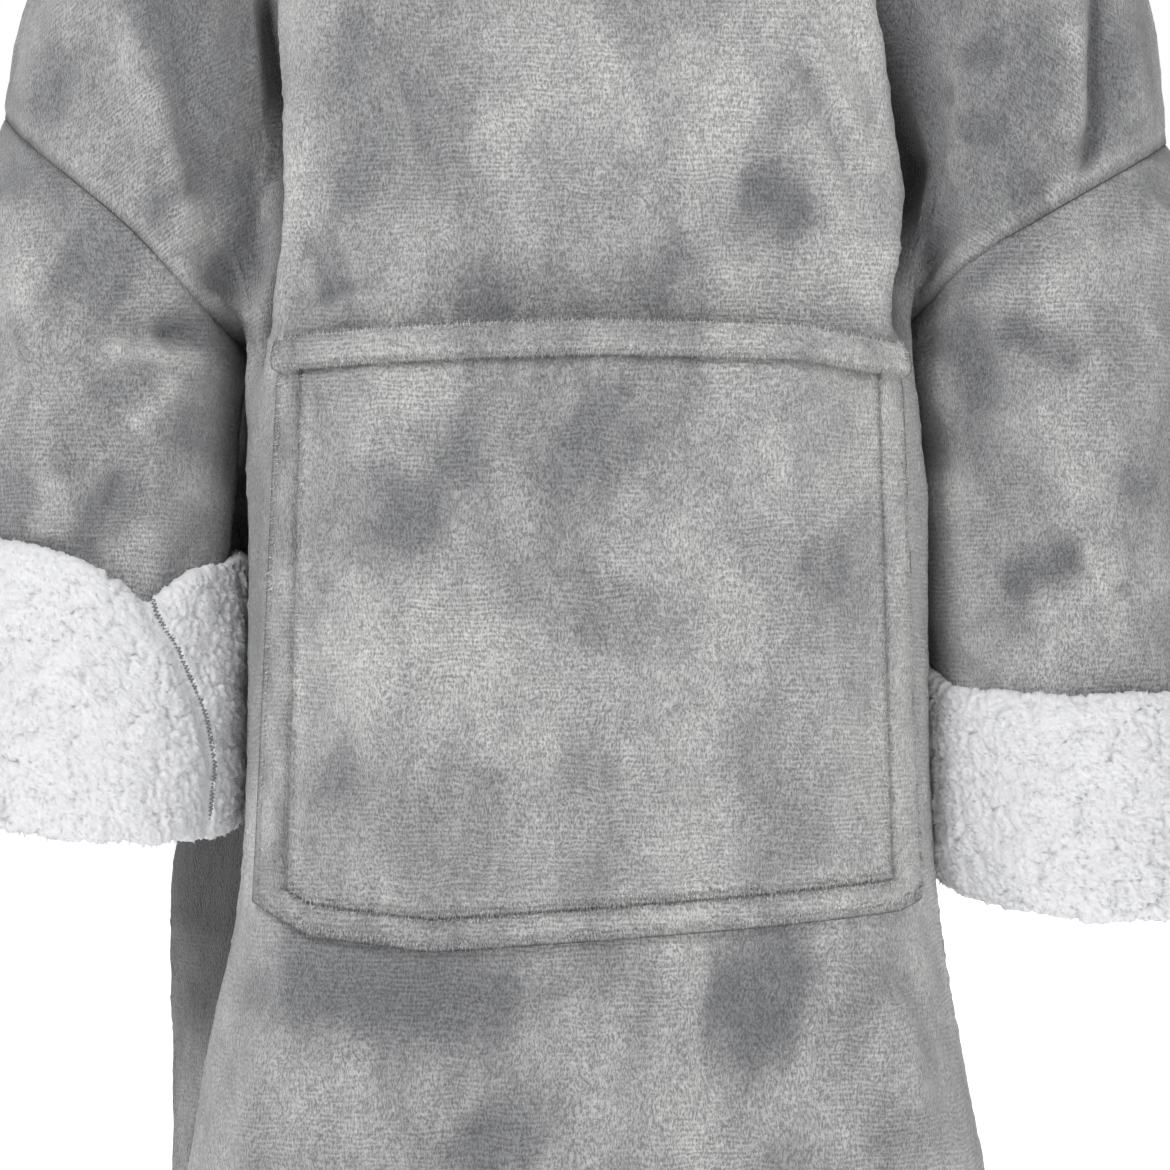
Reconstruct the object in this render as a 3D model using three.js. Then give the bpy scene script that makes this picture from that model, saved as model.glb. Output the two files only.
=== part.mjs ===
// Wearable blanket hoodie, built as its cut pieces: one cloth wall for each panel.
// Millimetres, +Z up, the front faces -Y. Left and right are as seen from the front.
// The origin is the middle of the neck at shoulder height, where the wearer carries the garment.
import * as THREE from 'three';

// Cloth walls and seams
const CLOTH = 4;
const SEAM_GAP = 0.3;
const CUFF_CLOTH = 12;
const CUFF_STEPS = 24;

// Driving sizes
const HEM_Z = -930;
const NECK_HALF = 95;
const NECK_FRONT = { y: -85, z: -75 };
const NECK_BACK = { y: 72, z: 4 };

// Steps between neighbouring control lines, from the outer end of a row to its middle
const ACROSS_STEPS = [1, 2, 3, 2, 3, 3];
const YOKE_STEPS = [2, 3, 3, 4];
const SKIRT_STEPS = [2, 3, 3, 3, 2];

// Yoke: a row for each control line of half a panel, a column for each level down to the underarm.
// Values are [distance from the middle, forward, height].
const YOKE_FRONT = {
  end: { shoulder: [360, 0, -228], roll: [336, 62, -250], crest: [272, 90, -302], chest: [238, 82, -337],
    under: [205, 0, -372] },
  armOut: { shoulder: [346, 0, -155], roll: [322, 62, -178], crest: [268, 91, -228], chest: [238, 87, -290],
    under: [208, 27, -363] },
  arm: { shoulder: [305, 0, -82], roll: [287, 62, -112], crest: [250, 90, -160], chest: [226, 83, -238],
    under: [207, 45, -359] },
  edge: { shoulder: [205, 0, -26], roll: [203, 62, -58], crest: [190, 72, -122], chest: [187, 62, -225],
    under: [203, 58, -362] },
  corner: { shoulder: [NECK_HALF, 0, 0], roll: [118, 76, -42], crest: [152, 106, -122],
    chest: [164, 106, -225], under: [173, 104, -363] },
  panel: { shoulder: [67, 60, -37], roll: [76, 92, -78], crest: [86, 117, -142], chest: [88, 125, -240],
    under: [92, 128, -365] },
  mid: { shoulder: [0, -NECK_FRONT.y, NECK_FRONT.z], roll: [0, 103, -108], crest: [0, 120, -165],
    chest: [0, 128, -255], under: [0, 131, -366] },
};
// The right arm hangs a little lower and closer, so its lines differ
const YOKE_RIGHT = {
  end: { shoulder: [357, 0, -243], roll: [334, 60, -259], crest: [270, 90, -296], chest: [226, 84, -322],
    under: [189, 0, -360] },
  armOut: { shoulder: [346, 0, -155], roll: [321, 62, -178], crest: [267, 91, -226], chest: [228, 86, -280],
    under: [194, 27, -352] },
  arm: { shoulder: [305, 0, -82], roll: [286, 62, -112], crest: [248, 90, -160], chest: [220, 82, -234],
    under: [195, 46, -350] },
  edge: { shoulder: [205, 0, -26], roll: [202, 62, -58], crest: [180, 72, -122], chest: [190, 62, -240],
    under: [191, 58, -352] },
};
// Lines of the back that differ from the front turned round
const YOKE_BACK = {
  edge: { shoulder: [205, 0, -26], roll: [204, 60, -56], crest: [196, 80, -120], chest: [194, 74, -225],
    under: [205, 62, -362] },
  corner: { shoulder: [NECK_HALF, 0, 0], roll: [116, 72, -30], crest: [150, 102, -112],
    chest: [160, 108, -222], under: [170, 106, -363] },
  panel: { shoulder: [66, 50, 2], roll: [76, 84, -34], crest: [84, 112, -118], chest: [86, 122, -232],
    under: [88, 122, -365] },
  mid: { shoulder: [0, NECK_BACK.y, NECK_BACK.z], roll: [0, 94, -38], crest: [0, 114, -122],
    chest: [0, 124, -235], under: [0, 124, -366] },
};

// Skirt: a row for each level below the underarm. Groove is the fold at the side seam between
// the edge of the front and the wider edge of the back.
const SKIRT = [
  { z: -450, depth: 132, edgeLeft: 203, edgeRight: 202, grooveLeft: 192, grooveRight: 186,
    backDepth: 124, backLeft: 228, backRight: 205, behind: 80 },
  { z: -560, depth: 134, edgeLeft: 203, edgeRight: 203, grooveLeft: 192, grooveRight: 189,
    backDepth: 128, backLeft: 234, backRight: 213, behind: 88 },
  { z: -690, depth: 138, edgeLeft: 207, edgeRight: 208, grooveLeft: 198, grooveRight: 194,
    backDepth: 136, backLeft: 261, backRight: 218, behind: 90 },
  { z: -800, depth: 144, edgeLeft: 228, edgeRight: 225, grooveLeft: 209, grooveRight: 206,
    backDepth: 146, backLeft: 262, backRight: 230, behind: 80 },
  { z: HEM_Z, depth: 151, edgeLeft: 249, edgeRight: 250, grooveLeft: 226, grooveRight: 228,
    backDepth: 157, backLeft: 259, backRight: 247, behind: 68 },
];
const EDGE_FORWARD = 56;
const CORNER_SHARE = { across: 0.855, forward: 0.83 };
const PANEL_SHARE = { across: 0.45, forward: 0.985 };
const SIDE_SHARE = { armOut: { across: 0.4, forward: 0.3 }, arm: { across: 0.85, forward: 0.65 } };
const CORNER_ROUND = 3;
const BACK_HOLLOW = 12;

// Sleeves: a row for each ring below the armhole. Lift is how far its outer side is above its middle
// and nod is how far its front is below its middle.
const SLEEVE_STEPS = [3, 2, 2, 2, 1];
const SLEEVES = {
  left: [
    { z: -352, x: 294, y: -4, half: 85, deep: 88, lift: 37, nod: 2 },
    { z: -412, x: 301, y: -8, half: 86, deep: 86, lift: 12, nod: 5 },
    { z: -480, x: 305, y: -14, half: 83, deep: 82, lift: 4, nod: 8 },
    { z: -560, x: 303, y: -18, half: 80, deep: 79, lift: 4, nod: 7 },
    { z: -646, x: 302, y: -20, half: 79, deep: 78, lift: 8, nod: 10 },
  ],
  right: [
    { z: -349, x: 284, y: -4, half: 87, deep: 89, lift: 36, nod: 3 },
    { z: -430, x: 293, y: -8, half: 88, deep: 86, lift: 10, nod: 7 },
    { z: -530, x: 296, y: -14, half: 86, deep: 82, lift: 3, nod: 10 },
    { z: -610, x: 300, y: -19, half: 81, deep: 79, lift: 0, nod: 13 },
    { z: -689, x: 301, y: -21, half: 79, deep: 78, lift: -4, nod: 15 },
  ],
};

// Turned-back cuffs: height of the upper edge at each side, and the notch at the seam of the left one
const CUFFS = {
  left: { drop: 4, height: 164, dip: 4, notch: { turn: 0.33, spread: 0.05, deep: 22 } },
  right: { drop: 4, height: 128, dip: 3, notch: { turn: 0.4, spread: 0.08, deep: 4 } },
};
// Profile of a cuff wall from its foot inside, round the outside, to its top and down again.
// Out is a share of the wall, up a share of the height.
const CUFF_PROFILE = [
  { out: 0, up: 0.05 },
  { out: 0.25, up: 0 },
  { out: 0.7, up: 0 },
  { out: 1.05, up: 0.06 },
  { out: 1.25, up: 0.22 },
  { out: 1.3, up: 0.45 },
  { out: 1.2, up: 0.7 },
  { out: 1.05, up: 0.9 },
  { out: 0.75, up: 1 },
  { out: 0.3, up: 0.985 },
  { out: 0, up: 0.9 },
  { out: 0, up: 0.5 },
];

// Pocket: its upper and lower edge on the front, from the middle of the garment
const POCKET_TOP = [{ x: -182, z: -369 }, { x: -60, z: -363 }, { x: 10, z: -361 }, { x: 120, z: -364 },
  { x: 184, z: -373 }];
const POCKET_FOOT = [{ x: -194, z: -700 }, { x: -160, z: -718 }, { x: -90, z: -726 }, { x: 10, z: -719 },
  { x: 110, z: -711 }, { x: 180, z: -704 }, { x: 196, z: -696 }];
const POCKET = { leftTop: -178, leftFoot: -193, rightTop: 180, rightFoot: 195, hem: 21, flangeTop: 13,
  flangeFoot: 19, lift: 0.9, puff: 13, puffReach: 55 };
// Wall of the pocket by distance from its edge: in flange widths at the sides and foot, in hem
// widths at the top. The thin place is the stitched line.
const FLANGE_WALL = [{ at: 0, wall: 4 }, { at: 0.35, wall: 6.5 }, { at: 0.8, wall: 6 }, { at: 1, wall: 2.6 },
  { at: 1.3, wall: 4.2 }, { at: 2.4, wall: 3.5 }];
const HEM_WALL = [{ at: 0, wall: 5 }, { at: 0.3, wall: 7.5 }, { at: 0.8, wall: 7 }, { at: 1, wall: 2.8 },
  { at: 1.3, wall: 4 }, { at: 2, wall: 3.5 }];
const POCKET_INSIDE_STEPS = 8;

// Hood: a row for each level from the neck to the crown. Brow is the edge of the face opening.
const HOOD_STEPS = [2, 2, 2, 2, 2];
const HOOD = [
  { browX: 58, browY: -108, browZ: 0, half: 104, backY: 96, backZ: 62 },
  { browX: 84, browY: -112, browZ: 92, half: 118, backY: 128, backZ: 140 },
  { browX: 84, browY: -106, browZ: 190, half: 122, backY: 142, backZ: 222 },
  { browX: 60, browY: -98, browZ: 276, half: 96, backY: 112, backZ: 302 },
  { browX: SEAM_GAP / 2, browY: -92, browZ: 318, half: SEAM_GAP / 2, backY: 54, backZ: 336 },
];
const HOOD_FRONT = { y: 0.22, half: 0.62 };
const HOOD_SIDE = { y: 0.52 };
const HOOD_BACK = { y: 0.88, half: 0.7 };
const HOOD_MIDDLE = { y: 20, z: 180 };

const FLANNEL = { color: 0x9a9b9d, roughness: 0.95, metalness: 0 };
const FLEECE = { color: 0xe6e6ea, roughness: 1, metalness: 0 };

const LINES = ['end', 'armOut', 'arm', 'edge', 'corner', 'panel', 'mid'];
const YOKE_LEVELS = ['shoulder', 'roll', 'crest', 'chest', 'under'];
const UP = new THREE.Vector3(0, 0, 1);
const SLEEVE_MIDDLE = 292;
const UNDERARM_TURN = 0.25;
const NEIGHBOUR_SHARE = 0.5;
const EVEN_PASSES = 3;
const HALVINGS = 20;
const SPOT_PASSES = 3;

const mix = THREE.MathUtils.lerp;
const smooth = (t) => THREE.MathUtils.smoothstep(t, 0, 1);

function point(x, y, z) {
  return new THREE.Vector3(x, y, z);
}

// A smooth curve through the points, cut at the listed ones, read at a span number and a share of it
function spanReader(points, cuts = []) {
  const stops = [0, ...cuts, points.length - 1];
  const curves = [];
  for (let i = 0; i + 1 < stops.length; i += 1) {
    const part = points.slice(stops[i], stops[i + 1] + 1);
    curves.push({ from: stops[i], spans: part.length - 1, curve: new THREE.CatmullRomCurve3(part) });
  }
  return (at) => {
    const found = curves.find((c) => at <= c.from + c.spans) ?? curves[curves.length - 1];
    return found.curve.getPoint(Math.min(1, (at - found.from) / found.spans));
  };
}

// The places along the spans: each span is cut into its own number of steps
function placesAlong(steps) {
  const places = [0];
  steps.forEach((count, span) => {
    for (let i = 1; i <= count; i += 1) places.push(span + i / count);
  });
  return places;
}

// The control points of one level of a panel, from its left end to its right end
function levelPoints(leftLine, rightLine) {
  const left = LINES.map((line) => leftLine(line));
  const right = LINES.slice(0, -1).map((line) => rightLine(line)).reverse();
  return [...left, ...right];
}

// Control points of the yoke levels, facing -1 for the front and +1 for the back
function yokeLevels(facing) {
  return YOKE_LEVELS.map((level) => {
    const read = (side) => (line) => {
      const own = facing > 0 ? YOKE_BACK[line] : null;
      const ownRight = side > 0 ? YOKE_RIGHT[line] : null;
      const [out, forward, z] = (own ?? ownRight ?? YOKE_FRONT[line])[level];
      const y = facing * Math.max(forward, SEAM_GAP / 2);
      return point(side * out, y, z);
    };
    return levelPoints(read(-1), read(1));
  });
}

// Control points of the skirt levels: groove, edge, corner and panel follow from the widths
function skirtLevels(facing) {
  return SKIRT.map((row, index) => {
    const front = facing < 0;
    const depth = front ? row.depth : row.backDepth;
    const low = index / (SKIRT.length - 1);
    const edgeY = front ? EDGE_FORWARD : row.behind;
    const cornerY = Math.max(depth * CORNER_SHARE.forward, edgeY + CORNER_ROUND);
    const read = (side) => (line) => {
      const groove = side < 0 ? row.grooveLeft : row.grooveRight;
      const frontEdge = side < 0 ? row.edgeLeft : row.edgeRight;
      const backEdge = side < 0 ? row.backLeft : row.backRight;
      const edge = front ? frontEdge : backEdge;
      const places = {
        end: [groove, SEAM_GAP / 2],
        armOut: [mix(groove, edge, SIDE_SHARE.armOut.across), edgeY * SIDE_SHARE.armOut.forward],
        arm: [mix(groove, edge, SIDE_SHARE.arm.across), edgeY * SIDE_SHARE.arm.forward],
        edge: [edge, edgeY],
        corner: [edge * CORNER_SHARE.across, cornerY],
        panel: [edge * PANEL_SHARE.across, depth * PANEL_SHARE.forward],
        mid: [0, front ? depth : depth - BACK_HOLLOW * low],
      };
      const [out, forward] = places[line];
      return point(side * out, facing * forward, row.z);
    };
    return levelPoints(read(-1), read(1));
  });
}

// A panel as a smooth surface: read(across, down) in spans of the control net
function panelSurface(facing) {
  const levels = [...yokeLevels(facing), ...skirtLevels(facing)];
  const neckCuts = [LINES.indexOf('corner'), 2 * (LINES.length - 1) - LINES.indexOf('corner')];
  const rows = levels.map((points, index) => spanReader(points, index === 0 ? neckCuts : []));
  const seamCuts = [YOKE_LEVELS.indexOf('under')];
  const lastSpan = 2 * (LINES.length - 1);
  const columns = new Map();
  const column = (across) => {
    if (!columns.has(across)) {
      const onSeam = across === 0 || across === lastSpan;
      columns.set(across, spanReader(rows.map((row) => row(across)), onSeam ? seamCuts : []));
    }
    return columns.get(across);
  };
  return (across, down) => column(across)(down);
}

// Outward normals of a grid of points, wrapped round when its rows are rings
function gridNormals(grid, inside, ring = false) {
  const rows = grid.length;
  const columns = grid[0].length;
  const pick = (r, c) => {
    const row = THREE.MathUtils.clamp(r, 0, rows - 1);
    const column = ring ? (c + columns) % columns : THREE.MathUtils.clamp(c, 0, columns - 1);
    return grid[row][column];
  };
  let facing = 0;
  const normals = grid.map((line, r) => line.map((p, c) => {
    const across = pick(r, c + 1).clone().sub(pick(r, c - 1));
    const down = pick(r + 1, c).clone().sub(pick(r - 1, c));
    const normal = across.cross(down).normalize();
    facing += normal.dot(p.clone().sub(inside(p)));
    return normal;
  }));
  if (facing < 0) normals.forEach((line) => line.forEach((n) => n.negate()));
  return normals;
}

// The grid of a surface moved along its normals
function movedGrid(grid, normals, distance) {
  return grid.map((line, r) => line.map((p, c) => {
    const far = typeof distance === 'function' ? distance(r, c) : distance;
    return p.clone().addScaledVector(normals[r][c], far);
  }));
}

// One closed body from an outer and an inner grid of the same size
function wallGeometry(outer, inner, ring = false) {
  const rows = outer.length;
  const columns = outer[0].length;
  const positions = [];
  [outer, inner].forEach((grid) => {
    grid.forEach((line) => line.forEach((p) => positions.push(p.x, p.y, p.z)));
  });
  const outerAt = (r, c) => r * columns + (c % columns);
  const innerAt = (r, c) => rows * columns + outerAt(r, c);
  const faces = [];
  const quad = (a, b, c, d) => faces.push(a, b, c, a, c, d);
  const last = ring ? columns : columns - 1;
  for (let r = 0; r + 1 < rows; r += 1) {
    for (let c = 0; c < last; c += 1) {
      quad(outerAt(r, c), outerAt(r + 1, c), outerAt(r + 1, c + 1), outerAt(r, c + 1));
      quad(innerAt(r, c), innerAt(r, c + 1), innerAt(r + 1, c + 1), innerAt(r + 1, c));
    }
  }
  for (let c = 0; c < last; c += 1) {
    // The two halves of a ring are split like the front and back rims that they meet
    if (ring && c >= columns / 2) quad(outerAt(0, c + 1), innerAt(0, c + 1), innerAt(0, c), outerAt(0, c));
    else quad(outerAt(0, c), outerAt(0, c + 1), innerAt(0, c + 1), innerAt(0, c));
    quad(outerAt(rows - 1, c + 1), outerAt(rows - 1, c), innerAt(rows - 1, c), innerAt(rows - 1, c + 1));
  }
  for (let r = 0; !ring && r + 1 < rows; r += 1) {
    quad(outerAt(r, 0), innerAt(r, 0), innerAt(r + 1, 0), outerAt(r + 1, 0));
    quad(outerAt(r, last), outerAt(r + 1, last), innerAt(r + 1, last), innerAt(r, last));
  }
  return facingOut(positions, faces);
}

// A closed mesh with its faces turned out, whichever way the grid ran
function facingOut(positions, faces) {
  let volume = 0;
  const at = (i) => point(positions[3 * i], positions[3 * i + 1], positions[3 * i + 2]);
  for (let i = 0; i < faces.length; i += 3) {
    volume += at(faces[i]).dot(at(faces[i + 1]).cross(at(faces[i + 2])));
  }
  const turned = [];
  for (let i = 0; i < faces.length; i += 3) {
    turned.push(faces[i], faces[i + (volume < 0 ? 2 : 1)], faces[i + (volume < 0 ? 1 : 2)]);
  }
  const geometry = new THREE.BufferGeometry();
  geometry.setAttribute('position', new THREE.Float32BufferAttribute(positions, 3));
  geometry.setIndex(turned);
  geometry.computeVertexNormals();
  return geometry;
}

// Front and back panels
const acrossPlaces = placesAlong([...ACROSS_STEPS, ...[...ACROSS_STEPS].reverse()]);
const downPlaces = placesAlong([...YOKE_STEPS, ...SKIRT_STEPS]);
const yokeRows = YOKE_STEPS.reduce((sum, count) => sum + count, 0);
const neckColumns = ACROSS_STEPS.slice(LINES.indexOf('corner')).reduce((sum, count) => sum + count, 0);
const middleColumn = (acrossPlaces.length - 1) / 2;
const frontSurface = panelSurface(-1);
const backSurface = panelSurface(1);

function panelGrid(surface) {
  return downPlaces.map((down) => acrossPlaces.map((across) => surface(across, down)));
}

// One value for each point of an armhole ring: outer top, front, underarm, back
function armholeRing(frontGrid, backGrid, side) {
  const column = side < 0 ? 0 : acrossPlaces.length - 1;
  const frontHalf = frontGrid.slice(0, yokeRows + 1).map((row) => row[column]);
  const backHalf = backGrid.slice(1, yokeRows).map((row) => row[column]).reverse();
  return [...frontHalf, ...backHalf].map((value) => value.clone());
}

// Normals of a panel: along the shoulder and side seams they lie in the seam
function panelNormals(grid) {
  const normals = gridNormals(grid, (p) => point(0, 0, p.z));
  const last = grid[0].length - 1;
  normals[0].forEach((normal, c) => {
    if (Math.abs(c - middleColumn) >= neckColumns) normal.setY(0).normalize();
  });
  for (let r = yokeRows; r < grid.length; r += 1) {
    normals[r][0].setY(0).normalize();
    normals[r][last].setY(0).normalize();
  }
  return normals;
}

// The seam of an armhole: its ring, the wall direction that body and sleeve share, and the
// direction across the seam from the body to the sleeve
function armholeSeam(side, rows) {
  const ring = armholeRing(frontGrid, backGrid, side);
  const bodyNormals = armholeRing(frontNormals, backNormals, side);
  const grid = sleeveGrid(rows, side, ring);
  const sleeveNormals = gridNormals(grid, sleeveMiddle, true)[0];
  const tangents = ring.map((_, i) => {
    const next = ring[(i + 1) % ring.length];
    const before = ring[(i - 1 + ring.length) % ring.length];
    return next.clone().sub(before).normalize();
  });
  const shared = bodyNormals.map((normal, i) => {
    return normal.clone().add(sleeveNormals[i]).addScaledVector(UP, -UNDERARM_TURN);
  });
  const wall = shared.map((own, i) => {
    const next = shared[(i + 1) % ring.length];
    const before = shared[(i - 1 + ring.length) % ring.length];
    const even = own.clone().addScaledVector(next.clone().add(before), NEIGHBOUR_SHARE);
    return even.addScaledVector(tangents[i], -even.dot(tangents[i])).normalize();
  });
  wall[0].setY(0).normalize();
  wall[yokeRows].copy(UP).negate();
  const across = tangents.map((tangent, i) => {
    const direction = tangent.clone().cross(wall[i]).normalize();
    return direction.dot(point(side, 0, -1)) < 0 ? direction.negate() : direction;
  });
  return { ring, wall, across };
}

// The panels' walls follow the armhole seams at their ends and turn evenly from there
function followSeams(normals, seams, facing) {
  const last = normals[0].length - 1;
  seams.forEach(({ wall }, index) => {
    for (let r = 0; r <= yokeRows; r += 1) {
      const ringIndex = facing < 0 ? r : (wall.length - r) % wall.length;
      normals[r][index === 0 ? 0 : last].copy(wall[ringIndex]);
    }
  });
  for (let pass = 0; pass < EVEN_PASSES; pass += 1) {
    const before = normals.map((line) => line.map((normal) => normal.clone()));
    for (let r = 1; r + 1 < normals.length; r += 1) {
      for (let c = 1; c < last; c += 1) {
        const near = [before[r][c - 1], before[r][c + 1], before[r - 1][c], before[r + 1][c]];
        near.forEach((normal) => normals[r][c].add(normal));
        normals[r][c].normalize();
      }
    }
  }
}

function panelGeometry(grid, normals) {
  return wallGeometry(grid, movedGrid(grid, normals, -CLOTH));
}

// One ring of a sleeve, from its outer side round the front
function sleeveRing(row, side, count) {
  return Array.from({ length: count }, (_, i) => {
    const turn = (2 * Math.PI * i) / count;
    const z = row.z + row.lift * Math.cos(turn) - row.nod * Math.sin(turn);
    return point(side * (row.x + row.half * Math.cos(turn)), row.y - row.deep * Math.sin(turn), z);
  });
}

// A sleeve as columns that start on the armhole and run down through its rings
function sleeveGrid(rows, side, start) {
  const rings = [start, ...rows.map((row) => sleeveRing(row, side, start.length))];
  const columns = start.map((_, i) => spanReader(rings.map((ring) => ring[i])));
  return placesAlong(SLEEVE_STEPS).map((down) => columns.map((column) => column(down)));
}

function sleeveMiddle(p) {
  return point(Math.sign(p.x) * SLEEVE_MIDDLE, 0, p.z);
}

function sleeveGeometry(rows, side, seam) {
  const start = seam.ring.map((p, i) => p.clone().addScaledVector(seam.across[i], SEAM_GAP));
  const grid = sleeveGrid(rows, side, start);
  const normals = gridNormals(grid, sleeveMiddle, true);
  seam.wall.forEach((direction, i) => normals[0][i].copy(direction));
  return wallGeometry(grid, movedGrid(grid, normals, -CLOTH), true);
}

// A cuff lies round the last part of its sleeve, a profile swept round the sleeve's own rings
function cuffGeometry(rows, side, cuff) {
  const count = CUFF_STEPS;
  const rings = rows.map((row) => sleeveRing(row, side, count));
  const foot = rings[rings.length - 1];
  const loops = CUFF_PROFILE.map(({ out, up }) => Array.from({ length: count }, (_, i) => {
    const turn = (2 * Math.PI * i) / count;
    const share = i / count;
    const away = (share - cuff.notch.turn) / cuff.notch.spread;
    const notch = cuff.notch.deep * Math.exp(-away * away);
    const height = cuff.height + cuff.dip * Math.cos(turn) - notch;
    const z = foot[i].z - cuff.drop + height * up;
    const on = pointAtHeight(rings.map((ring) => ring[i]), z);
    const base = ringNormal(rows[rows.length - 1], side, turn);
    return on.addScaledVector(base, SEAM_GAP * 2 + out * CUFF_CLOTH);
  }));
  return closedProfile(loops);
}

// The point of a downward polyline at a height, carried on straight past its ends
function pointAtHeight(points, z) {
  let index = points.findIndex((p, i) => i > 0 && p.z <= z);
  if (index < 0) index = points.length - 1;
  const a = points[index - 1];
  const b = points[index];
  const share = (z - a.z) / (b.z - a.z);
  return a.clone().lerp(b, share);
}

// Level direction straight out of an oval ring
function ringNormal(row, side, turn) {
  return point((side * Math.cos(turn)) / row.half, -Math.sin(turn) / row.deep, 0).normalize();
}

// A closed body from loops that follow each other round a profile
function closedProfile(loops) {
  const count = loops[0].length;
  const positions = loops.flatMap((loop) => loop.flatMap((p) => [p.x, p.y, p.z]));
  const faces = [];
  loops.forEach((_, j) => {
    const next = (j + 1) % loops.length;
    for (let i = 0; i < count; i += 1) {
      const along = (i + 1) % count;
      const a = j * count + i;
      const b = next * count + i;
      const c = next * count + along;
      const d = j * count + along;
      faces.push(a, b, c, a, c, d);
    }
  });
  return facingOut(positions, faces);
}

// The value in a range where a test turns true, found by halving
function halve([low, high], test) {
  let a = low;
  let b = high;
  for (let i = 0; i < HALVINGS; i += 1) {
    const middle = (a + b) / 2;
    if (test(middle)) b = middle;
    else a = middle;
  }
  return (a + b) / 2;
}

// The point of the front panel that lies at a place seen from in front
function frontPoint(x, z) {
  const spans = 2 * (LINES.length - 1);
  const acrossLimits = [LINES.indexOf('edge'), spans - LINES.indexOf('edge')];
  const downLimits = [YOKE_LEVELS.indexOf('crest'), YOKE_LEVELS.length + SKIRT.length - 1];
  let across = spans / 2;
  let down = 0;
  for (let pass = 0; pass < SPOT_PASSES; pass += 1) {
    down = halve(downLimits, (value) => frontSurface(across, value).z < z);
    across = halve(acrossLimits, (value) => frontSurface(value, down).x > x);
  }
  return frontSurface(across, down);
}

// A value read from rows of x and z, or at and wall, with straight lines between them
function readTable(rows, key, value, at) {
  const next = rows.findIndex((row) => row[key] >= at);
  if (next === 0) return rows[0][value];
  if (next < 0) return rows[rows.length - 1][value];
  const [a, b] = [rows[next - 1], rows[next]];
  return mix(a[value], b[value], (at - a[key]) / (b[key] - a[key]));
}

function evenlySpaced(from, to, steps) {
  return Array.from({ length: steps - 1 }, (_, i) => mix(from, to, (i + 1) / steps));
}

// Places of the pocket's rows or columns: near an edge in widths of it, inside in even shares
function pocketPlaces(nearKeys, farKeys) {
  return [
    ...nearKeys.map((near) => ({ near })),
    ...evenlySpaced(0, 1, POCKET_INSIDE_STEPS).map((share) => ({ share })),
    ...[...farKeys].reverse().map((far) => ({ far })),
  ];
}

// A place between two edges, given from the near one, from the far one, or as a share of the middle
function placeBetween(place, near, far, nearWidth, farWidth, nearKeys, farKeys) {
  const sign = Math.sign(far - near);
  const start = near + sign * nearKeys[nearKeys.length - 1] * nearWidth;
  const end = far - sign * farKeys[farKeys.length - 1] * farWidth;
  if ('near' in place) return near + sign * place.near * nearWidth;
  if ('far' in place) return far - sign * place.far * farWidth;
  return mix(start, end, place.share);
}

// The pocket lies on the front: its points are the panel's, moved out by its gap and its wall
function pocketGeometry() {
  const sideKeys = FLANGE_WALL.map((row) => row.at);
  const hemKeys = HEM_WALL.map((row) => row.at);
  const edgesAt = (x, z) => {
    const top = readTable(POCKET_TOP, 'x', 'z', x);
    const foot = readTable(POCKET_FOOT, 'x', 'z', x);
    const down = (top - z) / (top - foot);
    const left = mix(POCKET.leftTop, POCKET.leftFoot, down);
    const right = mix(POCKET.rightTop, POCKET.rightFoot, down);
    return { top, foot, left, right, flange: mix(POCKET.flangeTop, POCKET.flangeFoot, down) };
  };
  const columns = pocketPlaces(sideKeys, sideKeys);
  const spots = pocketPlaces(hemKeys, sideKeys).map((row) => columns.map((column) => {
    let x = 0;
    let z = POCKET_TOP[0].z;
    for (let pass = 0; pass < SPOT_PASSES; pass += 1) {
      const { top, foot, left, right, flange } = edgesAt(x, z);
      z = placeBetween(row, top, foot, POCKET.hem, POCKET.flangeFoot, hemKeys, sideKeys);
      x = placeBetween(column, left, right, flange, flange, sideKeys, sideKeys);
    }
    const { top, foot, left, right, flange } = edgesAt(x, z);
    const side = Math.min(x - left, right - x) / flange;
    const low = (z - foot) / POCKET.flangeFoot;
    const hem = (top - z) / POCKET.hem;
    const flangeWall = readTable(FLANGE_WALL, 'at', 'wall', Math.min(side, low));
    const hemWall = readTable(HEM_WALL, 'at', 'wall', hem);
    const fromSide = smooth(((side - 1) * flange) / POCKET.puffReach);
    const fromFoot = smooth(((low - 1) * POCKET.flangeFoot) / POCKET.puffReach);
    return {
      base: frontPoint(x, z),
      gap: POCKET.lift + POCKET.puff * fromSide * fromFoot,
      wall: hem < 1 ? hemWall : Math.min(hemWall, flangeWall),
    };
  }));
  const base = spots.map((line) => line.map((spot) => spot.base));
  const normals = gridNormals(base, (p) => point(0, 0, p.z));
  const inner = movedGrid(base, normals, (r, c) => spots[r][c].gap);
  const outer = movedGrid(base, normals, (r, c) => spots[r][c].gap + spots[r][c].wall);
  return wallGeometry(outer, inner);
}

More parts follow.
